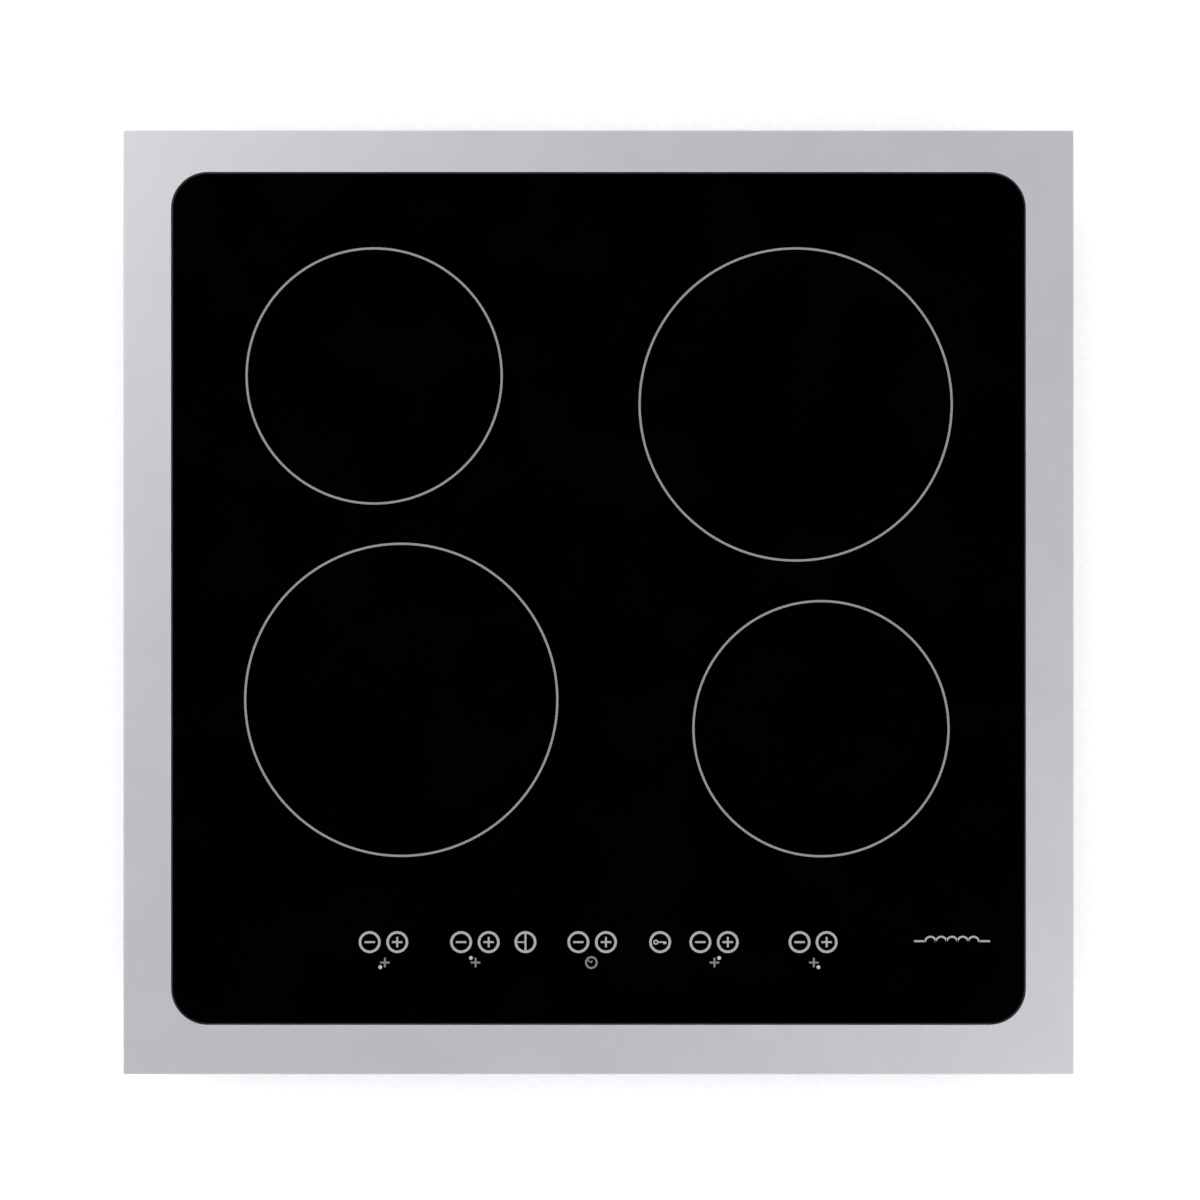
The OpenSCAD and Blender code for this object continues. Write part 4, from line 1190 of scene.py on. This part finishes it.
def helix(r, wire, low, high, steps=20):
    """Compression spring on Z with closed end turns."""
    total = math.floor((high - low) / (2.4 * wire)) * steps
    path = []
    for i in range(total + 1):
        a = 2 * math.pi * i / steps
        part = min(max((i / total - CLOSED_END) / (1 - 2 * CLOSED_END), 0), 1)
        path.append(Vector((r * math.cos(a), r * math.sin(a), low + wire + (high - low - 2 * wire) * part)))
    return swept(path, wire, 6)


def make_springs():
    """Springs that press the coils and the touch contacts up against the glass."""
    for name, node, r, wire in SPRINGS:
        low, high = node_box(node)
        add(name, merged(at_parts(node, helix(r, wire, low.z, high.z))), node)


def make_chokes():
    """Toroids with a single layer of enamelled wire over the core."""
    cores, wraps = [], []
    for low, high in loose_parts("filter_chokes"):
        outer = (high.x - low.x) / 2
        inner = outer * CHOKE_BORE

        def section(inset):
            return rectangle(inner + inset, outer - inset, low.z + inset, high.z - inset)

        cores.append(at_middle(lathe(softened(section(2 * CHOKE_WIRE), radius=1.5)), low, high))
        corner = (high.z - low.z) / 5
        wrap = [Vector((r, 0, z)) for r, z in softened(section(CHOKE_WIRE), corner, 4)]
        turn = swept(wrap + wrap[:2], CHOKE_WIRE, 6)
        for angle in sweep(*CHOKE_SPREAD, CHOKE_TURNS - 1):
            wraps.append(at_middle(moved(turn, spin(angle, "Z")), low, high))
    add("choke_cores", merged(cores), "filter_chokes", slot="ferrite")
    add("choke_windings", merged(wraps), "filter_chokes")


def make_boxes(name, node, corner, edge):
    """Rounded box for each of a node's separate solids."""
    shapes = []
    for low, high in loose_parts(node):
        line = box_line(high - low, corner, steps=SMALL_STEPS, least=0.1)
        shapes.append(at_middle(loft(rimmed(line, low.z, high.z, edge)), low, high))
    add(name, merged(shapes), node)


def blade_shape(r, low, high):
    """One blade, leaning from the radius and bowed along its length."""
    length, thick = BLADE
    lean = spin(BLADE_TURN, "Z")
    start = Vector((r - length, -length / 4, 0))
    side = Vector((0, thick / 2, 0))
    parts = sweep(0, 1, BLADE_STEPS)
    line = [Vector((length * part, BLADE_BOW * math.sin(math.pi * part), 0)) for part in parts]
    outline = [start + lean @ (p - side) for p in line] + [start + lean @ (p + side) for p in line[::-1]]
    return loft([at_level([p.xy for p in outline], z) for z in (low, high)])


def make_rotors():
    """Impellers with a hub, a top disc, a lower rim and bowed blades, each on its own body."""
    hub, wall = HUB
    for side in SIDES:
        node = f"blower_rotor_{side}"
        low, high = node_box(node)
        r = (high.x - low.x) / 2
        shell = [(AXIS, low.z), (hub, low.z), (hub, high.z - DISC), (r, high.z - DISC), (r, high.z)]
        shell += [(hub - wall, high.z), (hub - wall, low.z + wall), (SHAFT_RADIUS, low.z + wall)]
        shell += [(SHAFT_RADIUS, high.z), (AXIS, high.z)]
        rim = rectangle(r - RIM, r, low.z, low.z + RIM)
        shapes = [lathe(softened(shell, 0.25, 2), TURN_STEPS), lathe(softened(rim, 0.4, 2), TURN_STEPS)]
        blade = blade_shape(r, low.z + RIM / 2, high.z - DISC / 2)
        shapes += [moved(blade, spin(360 * i / BLADES, "Z")) for i in range(BLADES)]
        name = f"impeller_wheel_{side}"
        add(name, at_middle(merged(shapes), low, high), node, f"impeller_{side}")


# Printing on the glass, as lists of outlines about the middle of the glass

def disc_line(x, y, r, count=24):
    return [arc_points(x, y, r, turns(count))]


def ring_lines(x, y, r, line, count=96):
    return disc_line(x, y, r + line / 2, count) + disc_line(x, y, r - line / 2, count)


def arch_line(x, y, r, line, count=20):
    """Upper half of a ring, a little short at its ends."""
    angles = sweep(math.radians(2), math.radians(178), count)
    return [arc_points(x, y, r + line / 2, angles) + arc_points(x, y, r - line / 2, angles)[::-1]]


def bar_line(x, y, width, height):
    return [rectangle(x - width / 2, x + width / 2, y - height / 2, y + height / 2)]


def cross_line(x, y, length, width):
    """Plus sign as a single outline."""
    a, b = length / 2, width / 2
    corner = [(b, a), (b, b), (a, b)]
    points = []
    for sx, sy in [(1, 1), (1, -1), (-1, -1), (-1, 1)]:
        quarter = [(x + sx * px, y + sy * py) for px, py in corner]
        points += quarter if sx * sy > 0 else quarter[::-1]
    return [points]


def print_mesh(outline_sets):
    """Mesh of raised ink for sets of outlines, each filled on its own."""
    low = TOP - 2 * PRINT_THICK
    meshes = []
    for outlines in outline_sets:
        shifted = [[(x + GLASS_MID.x, y + GLASS_MID.y) for x, y in line] for line in outlines]
        meshes.append(flat_plate(shifted, low, TOP, PRINT_THICK / 4))
    return joined(meshes)


def key_ring(x):
    return ring_lines(x, KEY_ROW, KEY_RADIUS, KEY_LINE)


def key_prints():
    prints = []
    for minus, plus in KEY_PAIRS:
        prints += [key_ring(minus), key_ring(plus)]
        prints.append(bar_line(minus, KEY_ROW, BAR_LONG, BAR_WIDE))
        prints.append(cross_line(plus, KEY_ROW, BAR_LONG, BAR_WIDE))
    return prints


def dual_prints():
    """Ring with an upright line across it and a thin line from its left edge to the middle."""
    inside = KEY_RADIUS - KEY_LINE / 2
    return [
        key_ring(DUAL_KEY),
        bar_line(DUAL_KEY, KEY_ROW, BAR_WIDE, 2 * inside),
        bar_line(DUAL_KEY - (inside + BAR_WIDE / 2) / 2, KEY_ROW, inside - BAR_WIDE / 2, THIN_LINE),
    ]


def lock_prints():
    """Ring round a small key that lies on its side."""
    bow_x, end, half = LOCK_KEY + LOCK_BOW[0], LOCK_KEY + LOCK_END, THIN_LINE / 2
    bow_edge = bow_x + LOCK_BOW[1] + half
    bit_x, bit_y = end - LOCK_BIT[0], KEY_ROW - LOCK_BIT[1]
    shaft = [(bow_edge, KEY_ROW + half), (end, KEY_ROW + half), (end, bit_y), (bit_x, bit_y)]
    shaft += [(bit_x, KEY_ROW - half), (bow_edge, KEY_ROW - half)]
    return [key_ring(LOCK_KEY), ring_lines(bow_x, KEY_ROW, LOCK_BOW[1], THIN_LINE, 32), [shaft]]


def sign_prints():
    """A cross under each pair of zone keys, and the timer's clock."""
    prints = [cross_line(x, SIGN_ROW, SIGN_CROSS, SIGN_LINE) for x, *_ in ZONE_SIGNS]
    prints.append(ring_lines(CLOCK_X, SIGN_ROW, CLOCK_RADIUS, SIGN_LINE, 48))
    prints.append([[(CLOCK_X + x, SIGN_ROW + y) for x, y in CLOCK_HANDS]])
    return prints


def dot_prints():
    """Dot by each cross, on the side of the zone that it stands for."""
    off = SIGN_DOT_OFF
    return [disc_line(x + dx * off, SIGN_ROW + dy * off, SIGN_DOT) for x, dx, dy in ZONE_SIGNS]


def coil_prints():
    """Row of half loops between two leads, the sign of an induction coil."""
    span = 2 * COIL_LOOP_RADIUS * COIL_LOOPS
    prints = []
    for i in range(COIL_LOOPS):
        x = COIL_SIGN_X + COIL_LOOP_RADIUS * (2 * i + 1) - span / 2
        prints.append(arch_line(x, KEY_ROW, COIL_LOOP_RADIUS, SIGN_LINE))
    for side in (-1, 1):
        middle = COIL_SIGN_X + side * (span / 2 + COIL_LEAD / 2)
        prints.append(bar_line(middle, KEY_ROW + SIGN_LINE / 2, COIL_LEAD, SIGN_LINE))
    return prints


def zone_prints():
    prints = []
    for end in CORNERS:
        low, high = node_box(f"coil_{end}")
        middle = (low + high) / 2 - GLASS_MID
        r = (high.x - low.x) / 2 + ZONE_MARGIN
        prints.append(ring_lines(middle.x, middle.y, r, ZONE_LINE, 256))
    return prints


def make_prints():
    keys = key_prints() + dual_prints() + lock_prints() + coil_prints()
    for name, prints, node, ink in (
        ("zone_print", zone_prints(), "zone_markings", ZONE_INK),
        ("key_print", keys, "control_markings", None),
        ("sign_print", sign_prints(), "control_markings", SIGN_INK),
        ("dot_print", dot_prints(), "control_markings", DOT_INK),
    ):
        add(name, print_mesh(prints), node, look=ink)


def make_stage():
    """Wide pale floor just under the feet."""
    mesh = bpy.data.meshes.new("floor")
    work = bmesh.new()
    bmesh.ops.create_grid(work, x_segments=STAGE_CELLS, y_segments=STAGE_CELLS, size=STAGE_SIDE / 2)
    bmesh.ops.translate(work, verts=work.verts, vec=(0, 0, cad_box[0].z - STAGE_GAP))
    work.to_mesh(mesh)
    work.free()
    look = Look("studio_floor", Roughness=0.7)
    look.tone(look.noise(4), [0.91] * 3, [0.95] * 3)
    mesh.materials.append(look.material)
    in_scene("floor", mesh)


bpy.context.scene.view_settings.view_transform = "Standard"
add_sky()
for softbox in SOFTBOXES:
    add_softbox(*softbox)
make_stage()
dress_cad_nodes()
make_trim()
make_glass()
make_sealant()
make_seal()
make_underbox()
make_clamps()
make_clamp_bolts()
make_trim_nuts()
make_earth_bolt()
make_board_screws()
make_hinge_pin()
make_grommet()
make_cover()
make_coils()
make_springs()
make_chokes()
for box in BOXES:
    make_boxes(*box)
make_rotors()
make_prints()
soften_cad_nodes()

bpy.context.view_layer.update()
